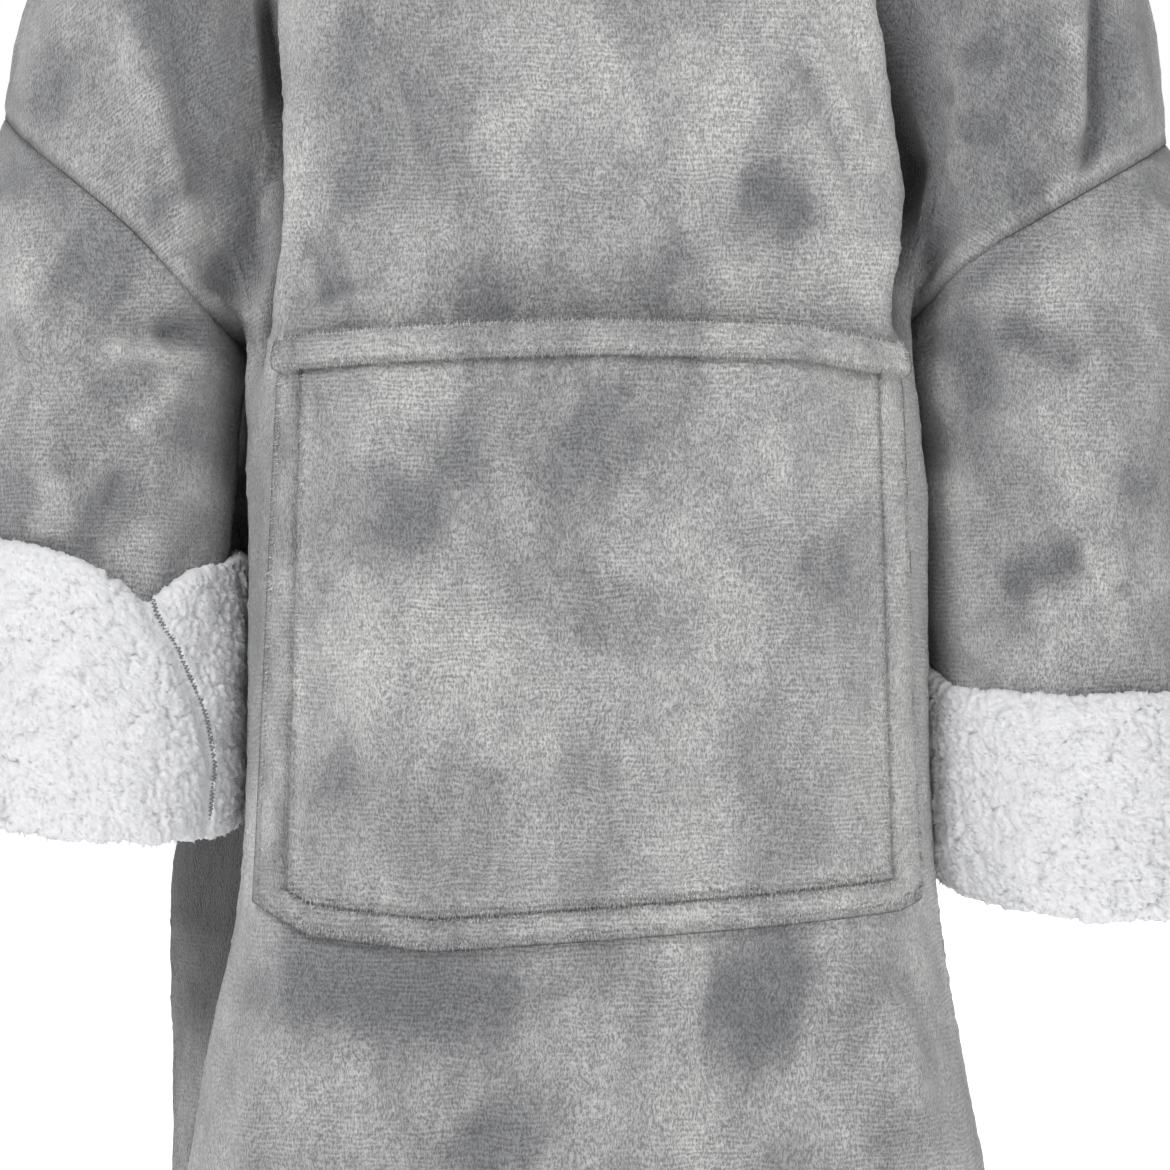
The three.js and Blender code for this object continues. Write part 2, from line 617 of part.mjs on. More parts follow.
// One half of the hood: columns start on its half of the neck edge and rise to the top seam
function hoodGeometry(side) {
  const columns = Array.from({ length: neckColumns + 1 }, (_, i) => middleColumn + side * i);
  const neckFront = columns.map((c) => frontGrid[0][c].clone());
  const neckBack = columns.slice(0, -1).reverse().map((c) => backGrid[0][c].clone());
  const neck = [...neckFront, ...neckBack].map((p) => p.addScaledVector(UP, SEAM_GAP));
  neck[0].x = (side * SEAM_GAP) / 2;
  neck[neck.length - 1].x = (side * SEAM_GAP) / 2;
  neck[neckColumns].y = 0;
  const spans = neck.length - 1;
  const levels = HOOD.map((row) => {
    const deep = row.backY - row.browY;
    const rise = row.backZ - row.browZ;
    const controls = [
      point(side * row.browX, row.browY, row.browZ),
      point(side * mix(row.browX, row.half, HOOD_FRONT.half), row.browY + HOOD_FRONT.y * deep,
        row.browZ + HOOD_FRONT.y * rise),
      point(side * row.half, row.browY + HOOD_SIDE.y * deep, row.browZ + HOOD_SIDE.y * rise),
      point(side * row.half * HOOD_BACK.half, row.browY + HOOD_BACK.y * deep, row.browZ + HOOD_BACK.y * rise),
      point((side * SEAM_GAP) / 2, row.backY, row.backZ),
    ];
    const read = spanReader(controls);
    return neck.map((_, i) => read(((controls.length - 1) * i) / spans));
  });
  const byColumn = neck.map((p, i) => spanReader([p, ...levels.map((level) => level[i])]));
  const grid = placesAlong(HOOD_STEPS).map((down) => byColumn.map((column) => column(down)));
  const normals = gridNormals(grid, (p) => point(0, HOOD_MIDDLE.y, Math.min(p.z, HOOD_MIDDLE.z)));
  normals[0][0].setX(0).normalize();
  normals.forEach((line) => line[line.length - 1].setX(0).normalize());
  normals[normals.length - 1].forEach((normal) => normal.setX(0).normalize());
  return wallGeometry(grid, movedGrid(grid, normals, -CLOTH));
}

function piece(name, geometry, look) {
  const mesh = new THREE.Mesh(geometry, new THREE.MeshStandardMaterial(look));
  mesh.name = name;
  return mesh;
}

const frontGrid = panelGrid(frontSurface);
const backGrid = panelGrid(backSurface);
const frontNormals = panelNormals(frontGrid);
const backNormals = panelNormals(backGrid);
const seams = [armholeSeam(-1, SLEEVES.left), armholeSeam(1, SLEEVES.right)];
followSeams(frontNormals, seams, -1);
followSeams(backNormals, seams, 1);

// The whole garment
const hoodie = new THREE.Group();
hoodie.add(piece('front', panelGeometry(frontGrid, frontNormals), FLANNEL));
hoodie.add(piece('back', panelGeometry(backGrid, backNormals), FLANNEL));
hoodie.add(piece('pocket', pocketGeometry(), FLANNEL));
['left', 'right'].forEach((name, index) => {
  const side = index === 0 ? -1 : 1;
  const rows = SLEEVES[name];
  hoodie.add(piece(`sleeve_${name}`, sleeveGeometry(rows, side, seams[index]), FLANNEL));
  hoodie.add(piece(`cuff_${name}`, cuffGeometry(rows, side, CUFFS[name]), FLEECE));
  hoodie.add(piece(`hood_${name}`, hoodGeometry(side), FLANNEL));
});

export default hoodie;
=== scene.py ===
import math

import bpy
import numpy as np
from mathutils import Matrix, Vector
from mathutils.bvhtree import BVHTree
from mathutils.kdtree import KDTree


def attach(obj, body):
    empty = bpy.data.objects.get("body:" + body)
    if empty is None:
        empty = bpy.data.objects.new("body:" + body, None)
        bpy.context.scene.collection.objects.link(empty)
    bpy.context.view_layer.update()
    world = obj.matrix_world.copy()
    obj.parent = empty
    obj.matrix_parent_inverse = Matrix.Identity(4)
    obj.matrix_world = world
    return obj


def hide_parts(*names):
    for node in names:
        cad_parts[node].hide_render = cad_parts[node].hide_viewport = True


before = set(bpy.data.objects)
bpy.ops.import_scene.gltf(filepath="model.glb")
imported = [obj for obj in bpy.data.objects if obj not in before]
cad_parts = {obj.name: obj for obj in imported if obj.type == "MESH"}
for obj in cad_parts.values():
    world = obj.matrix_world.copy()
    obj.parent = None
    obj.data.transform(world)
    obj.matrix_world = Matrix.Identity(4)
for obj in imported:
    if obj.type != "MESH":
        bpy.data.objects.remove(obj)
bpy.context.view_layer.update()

MM = 0.001

# The cut pieces as control nets, in millimetres: the solids follow the same nets.
# Left and right are as seen from the front, which faces -Y.
CLOTH = 4
SEAM_GAP = 0.3
CUFF_CLOTH = 12
HEM_Z = -930
FLOOR_Z = -960
FLOOR_HALF = 9000
ACROSS_STEPS = [1, 2, 3, 2, 3, 3]
YOKE_STEPS = [2, 3, 3, 4]
SKIRT_STEPS = [2, 3, 3, 3, 2]
LINES = ["end", "armOut", "arm", "edge", "corner", "panel", "mid"]
UNDER_LEVEL = 4

# Each line of the yoke has its points at the shoulder, roll, crest, chest and underarm:
# [distance from the middle, forward, height]
YOKE_FRONT = {
    "end": [[360, 0, -228], [336, 62, -250], [272, 90, -302], [238, 82, -337], [205, 0, -372]],
    "armOut": [[346, 0, -155], [322, 62, -178], [268, 91, -228], [238, 87, -290], [208, 27, -363]],
    "arm": [[305, 0, -82], [287, 62, -112], [250, 90, -160], [226, 83, -238], [207, 45, -359]],
    "edge": [[205, 0, -26], [203, 62, -58], [190, 72, -122], [187, 62, -225], [203, 58, -362]],
    "corner": [[95, 0, 0], [118, 76, -42], [152, 106, -122], [164, 106, -225], [173, 104, -363]],
    "panel": [[67, 60, -37], [76, 92, -78], [86, 117, -142], [88, 125, -240], [92, 128, -365]],
    "mid": [[0, 85, -75], [0, 103, -108], [0, 120, -165], [0, 128, -255], [0, 131, -366]],
}
YOKE_RIGHT = {
    "end": [[357, 0, -243], [334, 60, -259], [270, 90, -296], [226, 84, -322], [189, 0, -360]],
    "armOut": [[346, 0, -155], [321, 62, -178], [267, 91, -226], [228, 86, -280], [194, 27, -352]],
    "arm": [[305, 0, -82], [286, 62, -112], [248, 90, -160], [220, 82, -234], [195, 46, -350]],
    "edge": [[205, 0, -26], [202, 62, -58], [180, 72, -122], [190, 62, -240], [191, 58, -352]],
}
YOKE_BACK = {
    "edge": [[205, 0, -26], [204, 60, -56], [196, 80, -120], [194, 74, -225], [205, 62, -362]],
    "corner": [[95, 0, 0], [116, 72, -30], [150, 102, -112], [160, 108, -222], [170, 106, -363]],
    "panel": [[66, 50, 2], [76, 84, -34], [84, 112, -118], [86, 122, -232], [88, 122, -365]],
    "mid": [[0, 72, 4], [0, 94, -38], [0, 114, -122], [0, 124, -235], [0, 124, -366]],
}
# z, depth, edge left and right, groove left and right, then for the back its depth, edges and behind
SKIRT = [
    (-450, 132, 203, 202, 192, 186, 124, 228, 205, 80),
    (-560, 134, 203, 203, 192, 189, 128, 234, 213, 88),
    (-690, 138, 207, 208, 198, 194, 136, 261, 218, 90),
    (-800, 144, 228, 225, 209, 206, 146, 262, 230, 80),
    (HEM_Z, 151, 249, 250, 226, 228, 157, 259, 247, 68),
]
EDGE_FORWARD = 56
BACK_HOLLOW = 12

SLEEVE_STEPS = [3, 2, 2, 2, 1]
# z, x, y, half, deep, lift, nod
SLEEVES = {
    "left": [(-352, 294, -4, 85, 88, 37, 2), (-412, 301, -8, 86, 86, 12, 5), (-480, 305, -14, 83, 82, 4, 8),
             (-560, 303, -18, 80, 79, 4, 7), (-646, 302, -20, 79, 78, 8, 10)],
    "right": [(-349, 284, -4, 87, 89, 36, 3), (-430, 293, -8, 88, 86, 10, 7), (-530, 296, -14, 86, 82, 3, 10),
              (-610, 300, -19, 81, 79, 0, 13), (-689, 301, -21, 79, 78, -4, 15)],
}
SLEEVE_MIDDLE = 292
UNDERARM_TURN = 0.25
# drop, height, dip and the notch at the seam: turn, spread, deep
CUFFS = {"left": (4, 164, 4, 0.33, 0.05, 22), "right": (4, 128, 3, 0.4, 0.08, 4)}
CUFF_PROFILE = [(0, 0.05), (0.25, 0), (0.7, 0), (1.05, 0.06), (1.25, 0.22), (1.3, 0.45), (1.25, 0.7),
                (1.18, 0.88), (0.95, 0.98), (0.45, 0.99), (0, 0.92), (0, 0.5)]
EYE = (-1.7, -2325, -514)
CAMERA_LENS = 116.7
# The sewn edge on each cuff: seen from, the plane that its path is drawn on, path of (across, up)
SEWN = {
    "left": (EYE, -125, [(-256, -512), (-249.4, -533.7), (-240.1, -547.6), (-232.5, -565.6), (-226.7, -578.4),
                         (-222.7, -590), (-219.8, -604.5), (-217.5, -618.4), (-218, -626.5), (-219.2, -635.8),
                         (-220, -652)]),
    "right": ((300, 2325, -620), 125,
              [(268, -572), (262, -590), (254, -612), (248, -634), (246, -660), (247, -690)]),
}
STITCH_PITCH = 2.3
STITCH_ENDS = ((-1.4, 2.3), (0.9, 0.6))
FIRST_STITCH = 16
THREAD_RADIUS = 0.45
HIDDEN_SHARE = 0.45
CUFF_AROUND = 440
CUFF_ALONG = 216
# Width and height of the fleece's tufts, and how far it lies in between them
BIG_TUFT = (8.2, 3.4)
SMALL_TUFT = (4.4, 1.9)
FLEECE_SINK = 1.6

POCKET_TOP = [(-182, -369), (-60, -363), (10, -361), (120, -364), (184, -373)]
POCKET_FOOT = [(-194, -700), (-160, -718), (-90, -726), (10, -719), (110, -711), (180, -704), (196, -696)]
POCKET_LEFT = (-178, -193)
POCKET_RIGHT = (180, 195)
POCKET_FLANGE = (13, 19)
POCKET_HEM = 21
POCKET_COVER = (-186, 188, -372, -722)
COVER_FADE = 14
POCKET_LIFT = 0.9
POCKET_PUFF = 13
PUFF_REACH = 55
# How thick the pocket is at shares of the flange's or the hem's width from its edge
FLANGE_WALL = [(0, 3.8), (0.1, 6.2), (0.3, 8), (0.5, 8.5), (0.72, 8), (0.9, 6), (1, 1.8), (1.08, 4.6),
               (1.3, 5.2), (2.4, 3.8)]
HEM_WALL = [(0, 4), (0.1, 6.8), (0.3, 8.6), (0.55, 9.2), (0.8, 9), (0.94, 7.4), (1, 2.2), (1.1, 3.2),
            (1.3, 4), (2, 3.8)]

HOOD_STEPS = [2, 2, 2, 2, 2]
HOOD_TUCK = 1.4
BINDING = 1.5
PILE_LENGTH = 3.2
PILE_WIDTH = 1.2
CURL_LENGTH = 1.9
CURL_WIDTH = 1.3
# brow x, y, z, half, back y, z
HOOD = [(58, -108, 0, 104, 96, 62), (84, -112, 92, 118, 128, 140), (84, -106, 190, 122, 142, 222),
        (60, -98, 276, 96, 112, 302), (0.15, -92, 318, 0.15, 54, 336)]

FRONT_FINE = 8
BACK_FINE = 6
SLEEVE_FINE = 7
HOOD_FINE = 8


# Folds and pile marks by the side that they are seen from: width, height (a trough is negative), tone, which
# is the brushed pile's own tone and painted shade in the troughs and painted highlight on the ridges, path of
# (across, up), where across is X for front and back and Y for left and right
FOLDS = {
    "front": [
        # Each crevice between body and arm: a deep trough with painted shade, a ridge on the body side, then
        # a shallower trough with painted shade on the arm side
        (4.5, -20, -0.5,
         [(-192, -140), (-190, -175), (-187, -210), (-183, -273), (-186, -314), (-195, -366), (-201, -398)]),
        (8, 4, 0.3, [(-180, -140), (-178, -175), (-175, -210), (-171, -273), (-174, -314), (-183, -366)]),
        (13, -5, -0.5, [(-205, -140), (-204, -175), (-201, -210), (-198, -273), (-200, -314), (-208, -350)]),
        (4.5, -20, -0.5,
         [(171, -140), (175, -175), (183, -210), (190, -250), (192, -273), (187, -314), (185, -349),
          (191, -384)]),
        (8, 4, 0.3,
         [(159, -140), (163, -175), (171, -210), (178, -250), (180, -273), (175, -314), (173, -349)]),
        (13, -5, -0.45,
         [(186, -140), (190, -175), (197, -210), (204, -250), (205, -273), (201, -314), (198, -340)]),
        # Painted shadow under the left cuff, on the back panel's part that shows beside the front
        (18, 0, -1.2, [(-238, -640), (-236, -735)]),
        (6, -3, -0.3, [(122, -201), (138, -238), (152, -273), (159, -299)]),
        (10, 2, 0.25, [(132, -192), (149, -236), (168, -279)]),
        (13, -2.5, -0.85, [(85, -280), (101, -284), (117, -291), (130, -314)]),
        (12, 1.5, 0.35, [(117, -244), (142, -279), (153, -305)]),
        (5, -2.5, -0.45, [(-167, -305), (-154, -330), (-149, -352)]),
        (5, -2, -0.3, [(-155, -303), (-143, -327), (-137, -349)]),
        (4, -1.6, -0.3, [(-169, -352), (-144, -341), (-118, -338)]),
        (32, -2, -0.35, [(-167, -186), (-126, -244), (-112, -305)]),
        (24, -1.5, -0.4, [(-100, -343), (-36, -350)]),
        (38, 1, 0.3, [(13, -250), (65, -227), (117, -230)]),
        (18, 1, 0.4, [(159, -311), (165, -354)]),
        (15, -1, -0.35, [(22, -344), (49, -332), (74, -317)]),
        (22, 1, 0.25, [(65, -349), (123, -343)]),
        (20, -1, -0.4, [(-93, -407), (-86, -447), (-109, -500)]),
        (28, -1, -0.35, [(-16, -418), (30, -447)]),
        (20, -1.2, -0.35, [(-118, -436), (-129, -476), (-144, -505)]),
        (34, 1.2, 0.3, [(-167, -546), (-109, -581)]),
        (36, 1.2, 0.3, [(111, -412), (155, -476)]),
        (24, -1, -0.3, [(33, -511), (19, -558)]),
        (20, -1.2, -0.45, [(-152, -618), (-118, -634)]),
        (20, 1, 0.3, [(-70, -528), (-48, -621)]),
        (18, -1, -0.25, [(-19, -607), (22, -617)]),
        (26, 1, 0.28, [(135, -546), (157, -618)]),
        (18, -1, -0.25, [(117, -500), (147, -518)]),
        (24, -2.5, -0.8, [(-189, -733), (-97, -746), (-34, -756)]),
        (15, 2, 0.32, [(-206, -755), (-203, -850)]),
        (30, -2, -0.56, [(65, -746), (129, -756)]),
        (30, 2.5, 0.32, [(-16, -801), (68, -839)]),
        (24, -2, -0.48, [(-68, -813), (-25, -848)]),
        (24, 2, 0.4, [(161, -755), (201, -818)]),
        (9, -4, -0.48, [(-189, -732), (-205, -784), (-215, -859)]),
        (9, -3.5, -0.48, [(184, -732), (204, -790), (217, -859)]),
        (14, -6, -0.6, [(-248, -146), (-246, -175), (-239, -225), (-230, -264), (-220, -296)]),
        (14, 3, 0.3, [(-265, -181), (-253, -234), (-237, -287)]),
        (20, -2, -0.3, [(-305, -187), (-320, -240)]),
        (9, 2, 0.5, [(-240, -284), (-227, -310)]),
        (8, -2, -0.4, [(-218, -317), (-224, -342)]),
        (6, 2.5, 0.5, [(-225, -337), (-206, -358)]),
        (10, 3, 0.1, [(-204, -193), (-196, -287)]),
        (13, 1.5, 0.3, [(-341, -284), (-337, -364)]),
        (22, -2.5, -0.4, [(-317, -317), (-270, -346)]),
        (8, -5.5, -0.95, [(-259, -369), (-231, -364), (-202, -373)]),
        (6, 4.5, 0.95, [(-288, -376), (-252, -377), (-224, -384)]),
        (14, -2, -0.3, [(-292, -394), (-268, -420)]),
        (7, 3, 0.75, [(-240, -390), (-271, -424)]),
        (9, -2.5, -0.5, [(-233, -404), (-240, -436)]),
        (9, 2.5, 0.5, [(-310, -446), (-314, -490)]),
        (8, -5.5, -0.4, [(-297, -503), (-283, -467), (-272, -443)]),
        (6, -6.5, -0.6, [(-232, -464), (-242, -493), (-257, -519)]),
        (8, 4.5, 0.3, [(-258, -473), (-268, -512)]),
        (8, 3.5, 0.1, [(-219, -449), (-228, -502)]),
        (6, -7, -0.7, [(306, -146), (304, -181), (301, -211), (300, -246), (292, -272)]),
        (9, 3.5, 0.4, [(286, -175), (290, -223), (284, -253)]),
        (9, -2, -0.5, [(314, -184), (310, -231)]),
        (9, 2, 0.25, [(326, -202), (331, -243)]),
        (6, -3, -0.75, [(219, -207), (236, -198), (246, -205)]),
        (5, -2.5, -0.6, [(214, -220), (210, -231)]),
        (6, -2.5, -0.65, [(220, -252), (231, -243), (244, -252)]),
        (14, -3, -0.5, [(247, -286), (273, -281)]),
        (9, 2.5, 0.35, [(220, -216), (213, -264), (223, -283)]),
        (7, 2, 0.4, [(278, -231), (284, -253)]),
        (7, 2.5, 0.3, [(200, -339), (243, -303)]),
        (7, -2, -0.3, [(201, -350), (248, -324), (293, -305)]),
        (12, 1.5, 0.2, [(296, -324), (340, -305)]),
        (11, -5, -0.95, [(212, -352), (232, -385), (230, -418), (212, -458)]),
        (6, 3.5, 0.9, [(205, -374), (203, -408)]),
        (8, 4.5, 0.6, [(241, -404), (223, -442), (213, -479)]),
        (10, -3.5, -0.75, [(241, -357), (272, -372), (292, -390)]),
        (10, 3, 0.35, [(259, -404), (278, -446), (297, -466)]),
        (9, -2, -0.4, [(312, -451), (340, -459)]),
        (9, -3.5, -0.85, [(244, -518), (266, -505), (293, -495)]),
        (9, 1.5, 0.2, [(247, -469), (261, -489)]),
        (4.5, -1.5, -0.5, [(233, -533), (237, -539)]),
        (5, -1.5, -0.5, [(311, -513), (317, -519)]),
        (9, 2, 0.3, [(296, -492), (302, -524)]),
        (7, -5, -0.45, [(204, -520), (213, -552), (238, -566)]),
    ],
    "back": [
        (9, -6, -0.4, [(-184, -150), (-176, -240), (-184, -330), (-200, -400)]),
        (9, -6, -0.4, [(170, -150), (180, -240), (184, -320), (192, -400)]),
        (22, -5, -0.3, [(-20, -150), (-28, -260), (-14, -420)]),
        (20, 4, 0.2, [(30, -170), (40, -300), (28, -440)]),
        (20, -2, -0.3, [(-150, -420), (-90, -450), (-20, -440)]),
        (18, 2, 0.2, [(-140, -390), (-80, -418), (-10, -410)]),
        (16, -6, -0.35, [(120, -470), (96, -620), (104, -780), (120, -940)]),
        (18, 6, 0.25, [(80, -480), (60, -640), (66, -800), (74, -940)]),
        (16, -7, -0.35, [(-120, -520), (-140, -680), (-136, -820), (-150, -940)]),
        (16, 6, 0.3, [(-84, -540), (-96, -700), (-88, -940)]),
        (20, -5, -0.3, [(-10, -600), (-24, -760), (-16, -940)]),
        (12, -5, -0.45, [(-262, -180), (-250, -280), (-262, -350)]),
        (12, 4, 0.3, [(-290, -170), (-282, -270), (-290, -340)]),
        (12, -5, -0.45, [(258, -170), (246, -270), (256, -350)]),
        (12, 4, 0.3, [(288, -170), (280, -260), (288, -330)]),
        (10, -6, -0.45, [(-230, -400), (-280, -388), (-330, -410)]),
        (9, 4, 0.35, [(-235, -424), (-285, -408), (-335, -430)]),
        (10, -5, -0.4, [(-255, -520), (-300, -470), (-345, -470)]),
        (10, -6, -0.45, [(225, -400), (275, -382), (325, -404)]),
        (9, 4, 0.35, [(230, -424), (280, -406), (330, -428)]),
        (10, -5, -0.4, [(250, -560), (292, -500), (340, -490)]),
        (8, -5, -0.4, [(300, -620), (318, -570), (330, -540)]),
    ],
    "left": [
        (11, -5, -0.4, [(-70, -250), (-20, -300), (40, -330)]),
        (10, 4, 0.3, [(-72, -275), (-18, -325), (42, -352)]),
        (11, -6, -0.4, [(-60, -420), (-10, -440), (50, -430)]),
        (9, 4, 0.3, [(-58, -440), (-8, -462), (52, -452)]),
        (10, -4, -0.35, [(30, -500), (0, -520), (-50, -505)]),
    ],
    "right": [
        (11, -5, -0.4, [(-66, -260), (-16, -310), (44, -330)]),
        (10, 4, 0.3, [(-66, -284), (-14, -334), (44, -354)]),
        (11, -6, -0.4, [(-60, -430), (-10, -452), (48, -440)]),
        (9, 4, 0.3, [(-58, -452), (-8, -474), (50, -462)]),
        (10, -5, -0.35, [(40, -560), (0, -585), (-56, -570)]),
    ],
}
SEEN_FROM = {"front": (0, 1, -1), "back": (0, 1, 1), "left": (1, 0, -1), "right": (1, 0, 1)}
FUZZ = 0.4
SEAM_DIP = 2.6
SEAM_REACH = 6
SEAM_CALM = 16
YOKE_FOOT = -380
INNER_FULLNESS = 4.5
# Painted shade that makes the sleeves darker than the body
SLEEVE_SHADE = 0.26
ARM_SLOPE = 0.7
ARM_ROOT = 185
DEEP_CREASE = -15
FOLD_DEPTH = 1.6
MARK_TONE = 1.5
# In metres, as the materials read them: the pitch of the knitted rows and the depths of fine relief
ROW_PITCH = 0.0029
PILE_RELIEF = 0.003
CURL_RELIEF = 0.0012
TWIST_RELIEF = 0.0003


def spline(points, at, cuts=()):
    """A smooth curve through points[0], points[1], ..., cut at some of them, read at span numbers."""
    points = np.asarray(points, float)
    at = np.asarray(at, float)
    out = np.empty((len(at),) + points.shape[1:])
    stops = [0, *cuts, len(points) - 1]
    for first, last in zip(stops, stops[1:]):
        part = points[first:last + 1]
        here = (at >= first - 1e-9) & (at <= last + 1e-9)
        place = np.clip(at[here] - first, 0, len(part) - 1)
        span = np.minimum(place.astype(int), len(part) - 2)
        t = (place - span).reshape((-1,) + (1,) * (points.ndim - 1))
        ends = np.concatenate([2 * part[:1] - part[1:2], part, 2 * part[-1:] - part[-2:-1]])
        p0, p1, p2, p3 = (ends[span + i] for i in range(4))
        d0, d1, d2 = (np.sqrt(np.linalg.norm(b - a, axis=-1, keepdims=True))
                      for a, b in ((p0, p1), (p1, p2), (p2, p3)))
        d1 = np.where(d1 < 1e-4, 1, d1)
        d0 = np.where(d0 < 1e-4, d1, d0)
        d2 = np.where(d2 < 1e-4, d1, d2)
        m1 = ((p1 - p0) / d0 - (p2 - p0) / (d0 + d1) + (p2 - p1) / d1) * d1
        m2 = ((p2 - p1) / d1 - (p3 - p1) / (d1 + d2) + (p3 - p2) / d2) * d1
        a = 2 * p1 - 2 * p2 + m1 + m2
        b = -3 * p1 + 3 * p2 - 2 * m1 - m2
        out[here] = ((a * t + b) * t + m1) * t + p1
    return out


def places(steps, fine):
    """Span numbers along a net: each span is cut into its own number of steps, each step into fine."""
    found = [0.0]
    for span, count in enumerate(steps):
        found += [span + i / (count * fine) for i in range(1, count * fine + 1)]
    return np.array(found)


def unit(v):
    """Directions of length 1."""
    return v / np.maximum(np.linalg.norm(v, axis=-1, keepdims=True), 1e-9)


def level_points(read):
    """A level's points from left to right, read for each line of the net."""
    left = [read(-1, line) for line in LINES]
    right = [read(1, line) for line in LINES[:-1]][::-1]
    return np.array(left + right, float)


def panel_levels(facing):
    """A panel's net, a row for each level of the yoke and then of the skirt."""
    levels = []
    for level in range(UNDER_LEVEL + 1):
        def yoke(side, line):
            own = YOKE_BACK.get(line) if facing > 0 else None
            own = own or (YOKE_RIGHT.get(line) if side > 0 else None) or YOKE_FRONT[line]
            out, forward, z = own[level]
            return [side * out, facing * max(forward, SEAM_GAP / 2), z]
        levels.append(level_points(yoke))
    for index, (z, depth, left, right, groove_left, groove_right, back, back_left, back_right,
                behind) in enumerate(SKIRT):
        low = index / (len(SKIRT) - 1)

        def skirt(side, line):
            groove = groove_left if side < 0 else groove_right
            if facing < 0:
                edge, edge_y, deep, hollow = (left if side < 0 else right), EDGE_FORWARD, depth, 0
            else:
                edge = back_left if side < 0 else back_right
                edge_y, deep, hollow = behind, back, BACK_HOLLOW
            out, forward = {
                "end": (groove, SEAM_GAP / 2),
                "armOut": (groove + (edge - groove) * 0.4, edge_y * 0.3),
                "arm": (groove + (edge - groove) * 0.85, edge_y * 0.65),
                "edge": (edge, edge_y),
                "corner": (edge * 0.855, max(deep * 0.83, edge_y + 3)),
                "panel": (edge * 0.45, deep * 0.985),
                "mid": (0, deep - hollow * low),
            }[line]
            return [side * out, facing * forward, z]
        levels.append(level_points(skirt))
    return levels


def panel_grid(facing, fine):
    """A panel's points, a row for each height from the shoulder to the hem."""
    across = places(ACROSS_STEPS + ACROSS_STEPS[::-1], fine)
    down = places(YOKE_STEPS + SKIRT_STEPS, fine)
    rows = []
    for index, points in enumerate(panel_levels(facing)):
        rows.append(spline(points, across, (4, 8) if index == 0 else ()))
    grid = spline(np.array(rows), down)
    for seam in (0, -1):
        grid[:, seam] = spline(np.array(rows)[:, seam], down, (UNDER_LEVEL,))
    return grid


def grid_normals(grid, inside, ring=False):
    """The directions straight out of a surface, away from the points inside it."""
    if ring:
        across = np.roll(grid, -1, 1) - np.roll(grid, 1, 1)
    else:
        across = np.gradient(grid, axis=1)
    down = np.gradient(grid, axis=0)
    normals = unit(np.cross(across, down))
    facing = (normals * (grid - inside)).sum()
    return normals if facing > 0 else -normals


def levelled(grid):
    """The middle line of the garment at each point's height."""
    return grid * np.array([0, 0, 1.0])


def panel_normals(grid, fine):
    """A panel's normals, level with the other panel's along the shoulders and sides."""
    normals = grid_normals(grid, levelled(grid))
    middle = grid.shape[1] // 2
    neck = sum(ACROSS_STEPS[4:]) * fine
    for c in range(grid.shape[1]):
        if abs(c - middle) >= neck:
            normals[0, c, 1] = 0
    yoke = sum(YOKE_STEPS) * fine
    normals[yoke:, 0, 1] = 0
    normals[yoke:, -1, 1] = 0
    return unit(normals)


def armhole(front, back, side, fine):
    """The ring of an armhole, from its outer top round the front and the underarm to the back."""
    yoke = sum(YOKE_STEPS) * fine
    column = 0 if side < 0 else -1
    return np.concatenate([front[:yoke + 1, column], back[1:yoke, column][::-1]])


def sleeve_ring(row, side, count):
    """A tilted oval round the arm at one row of a sleeve's table."""
    z, x, y, half, deep, lift, nod = row
    turn = 2 * np.pi * np.arange(count) / count
    return np.stack([side * (x + half * np.cos(turn)), y - deep * np.sin(turn),
                     z + lift * np.cos(turn) - nod * np.sin(turn)], -1)


def sleeve_grid(rows, side, start, fine):
    """A sleeve's rings from the armhole down."""
    rings = np.array([start] + [sleeve_ring(row, side, len(start)) for row in rows])
    return spline(rings, places(SLEEVE_STEPS, fine))


def smooth(t):
    """0 up to 0 and 1 from 1 on, with a soft rise between them."""
    t = np.clip(t, 0, 1)
    return t * t * (3 - 2 * t)


def ramp(value, start, length):
    """0 up to the start, rising to 1 over the length."""
    return smooth((value - start) / length)


def bell(away, width):
    """1 where away is 0, and almost 0 from twice the width on."""
    return np.exp(-(away / width) ** 2)


def lengths_of(line):
    """How far along a line each of its points is."""
    return np.concatenate([[0], np.cumsum(np.linalg.norm(np.diff(line, axis=0), axis=1))])


def read_along(at, lengths, values):
    """Values at lengths along a line, read between its points."""
    return np.stack([np.interp(at, lengths, column) for column in values.T], -1)


def along_path(at, path, ends=0.16):
    """Distance of each place from a smooth path, and how far it is from the path's ends, from 0 to 1."""
    path = np.array(path, float)
    fine = spline(path[:, None], np.linspace(0, len(path) - 1, 5 * len(path)))[:, 0]
    lengths = lengths_of(fine)
    best = np.full(len(at), 1e9)
    share = np.zeros(len(at))
    for a, b, start, end in zip(fine, fine[1:], lengths, lengths[1:]):
        run = b - a
        t = np.clip(((at - a) @ run) / max(run @ run, 1e-9), 0, 1)
        far = np.linalg.norm(at - (a + t[:, None] * run), axis=1)
        nearer = far < best
        best[nearer] = far[nearer]
        share[nearer] = (start + t[nearer] * (end - start)) / lengths[-1]
    return best, smooth(np.minimum(share, 1 - share) / ends)


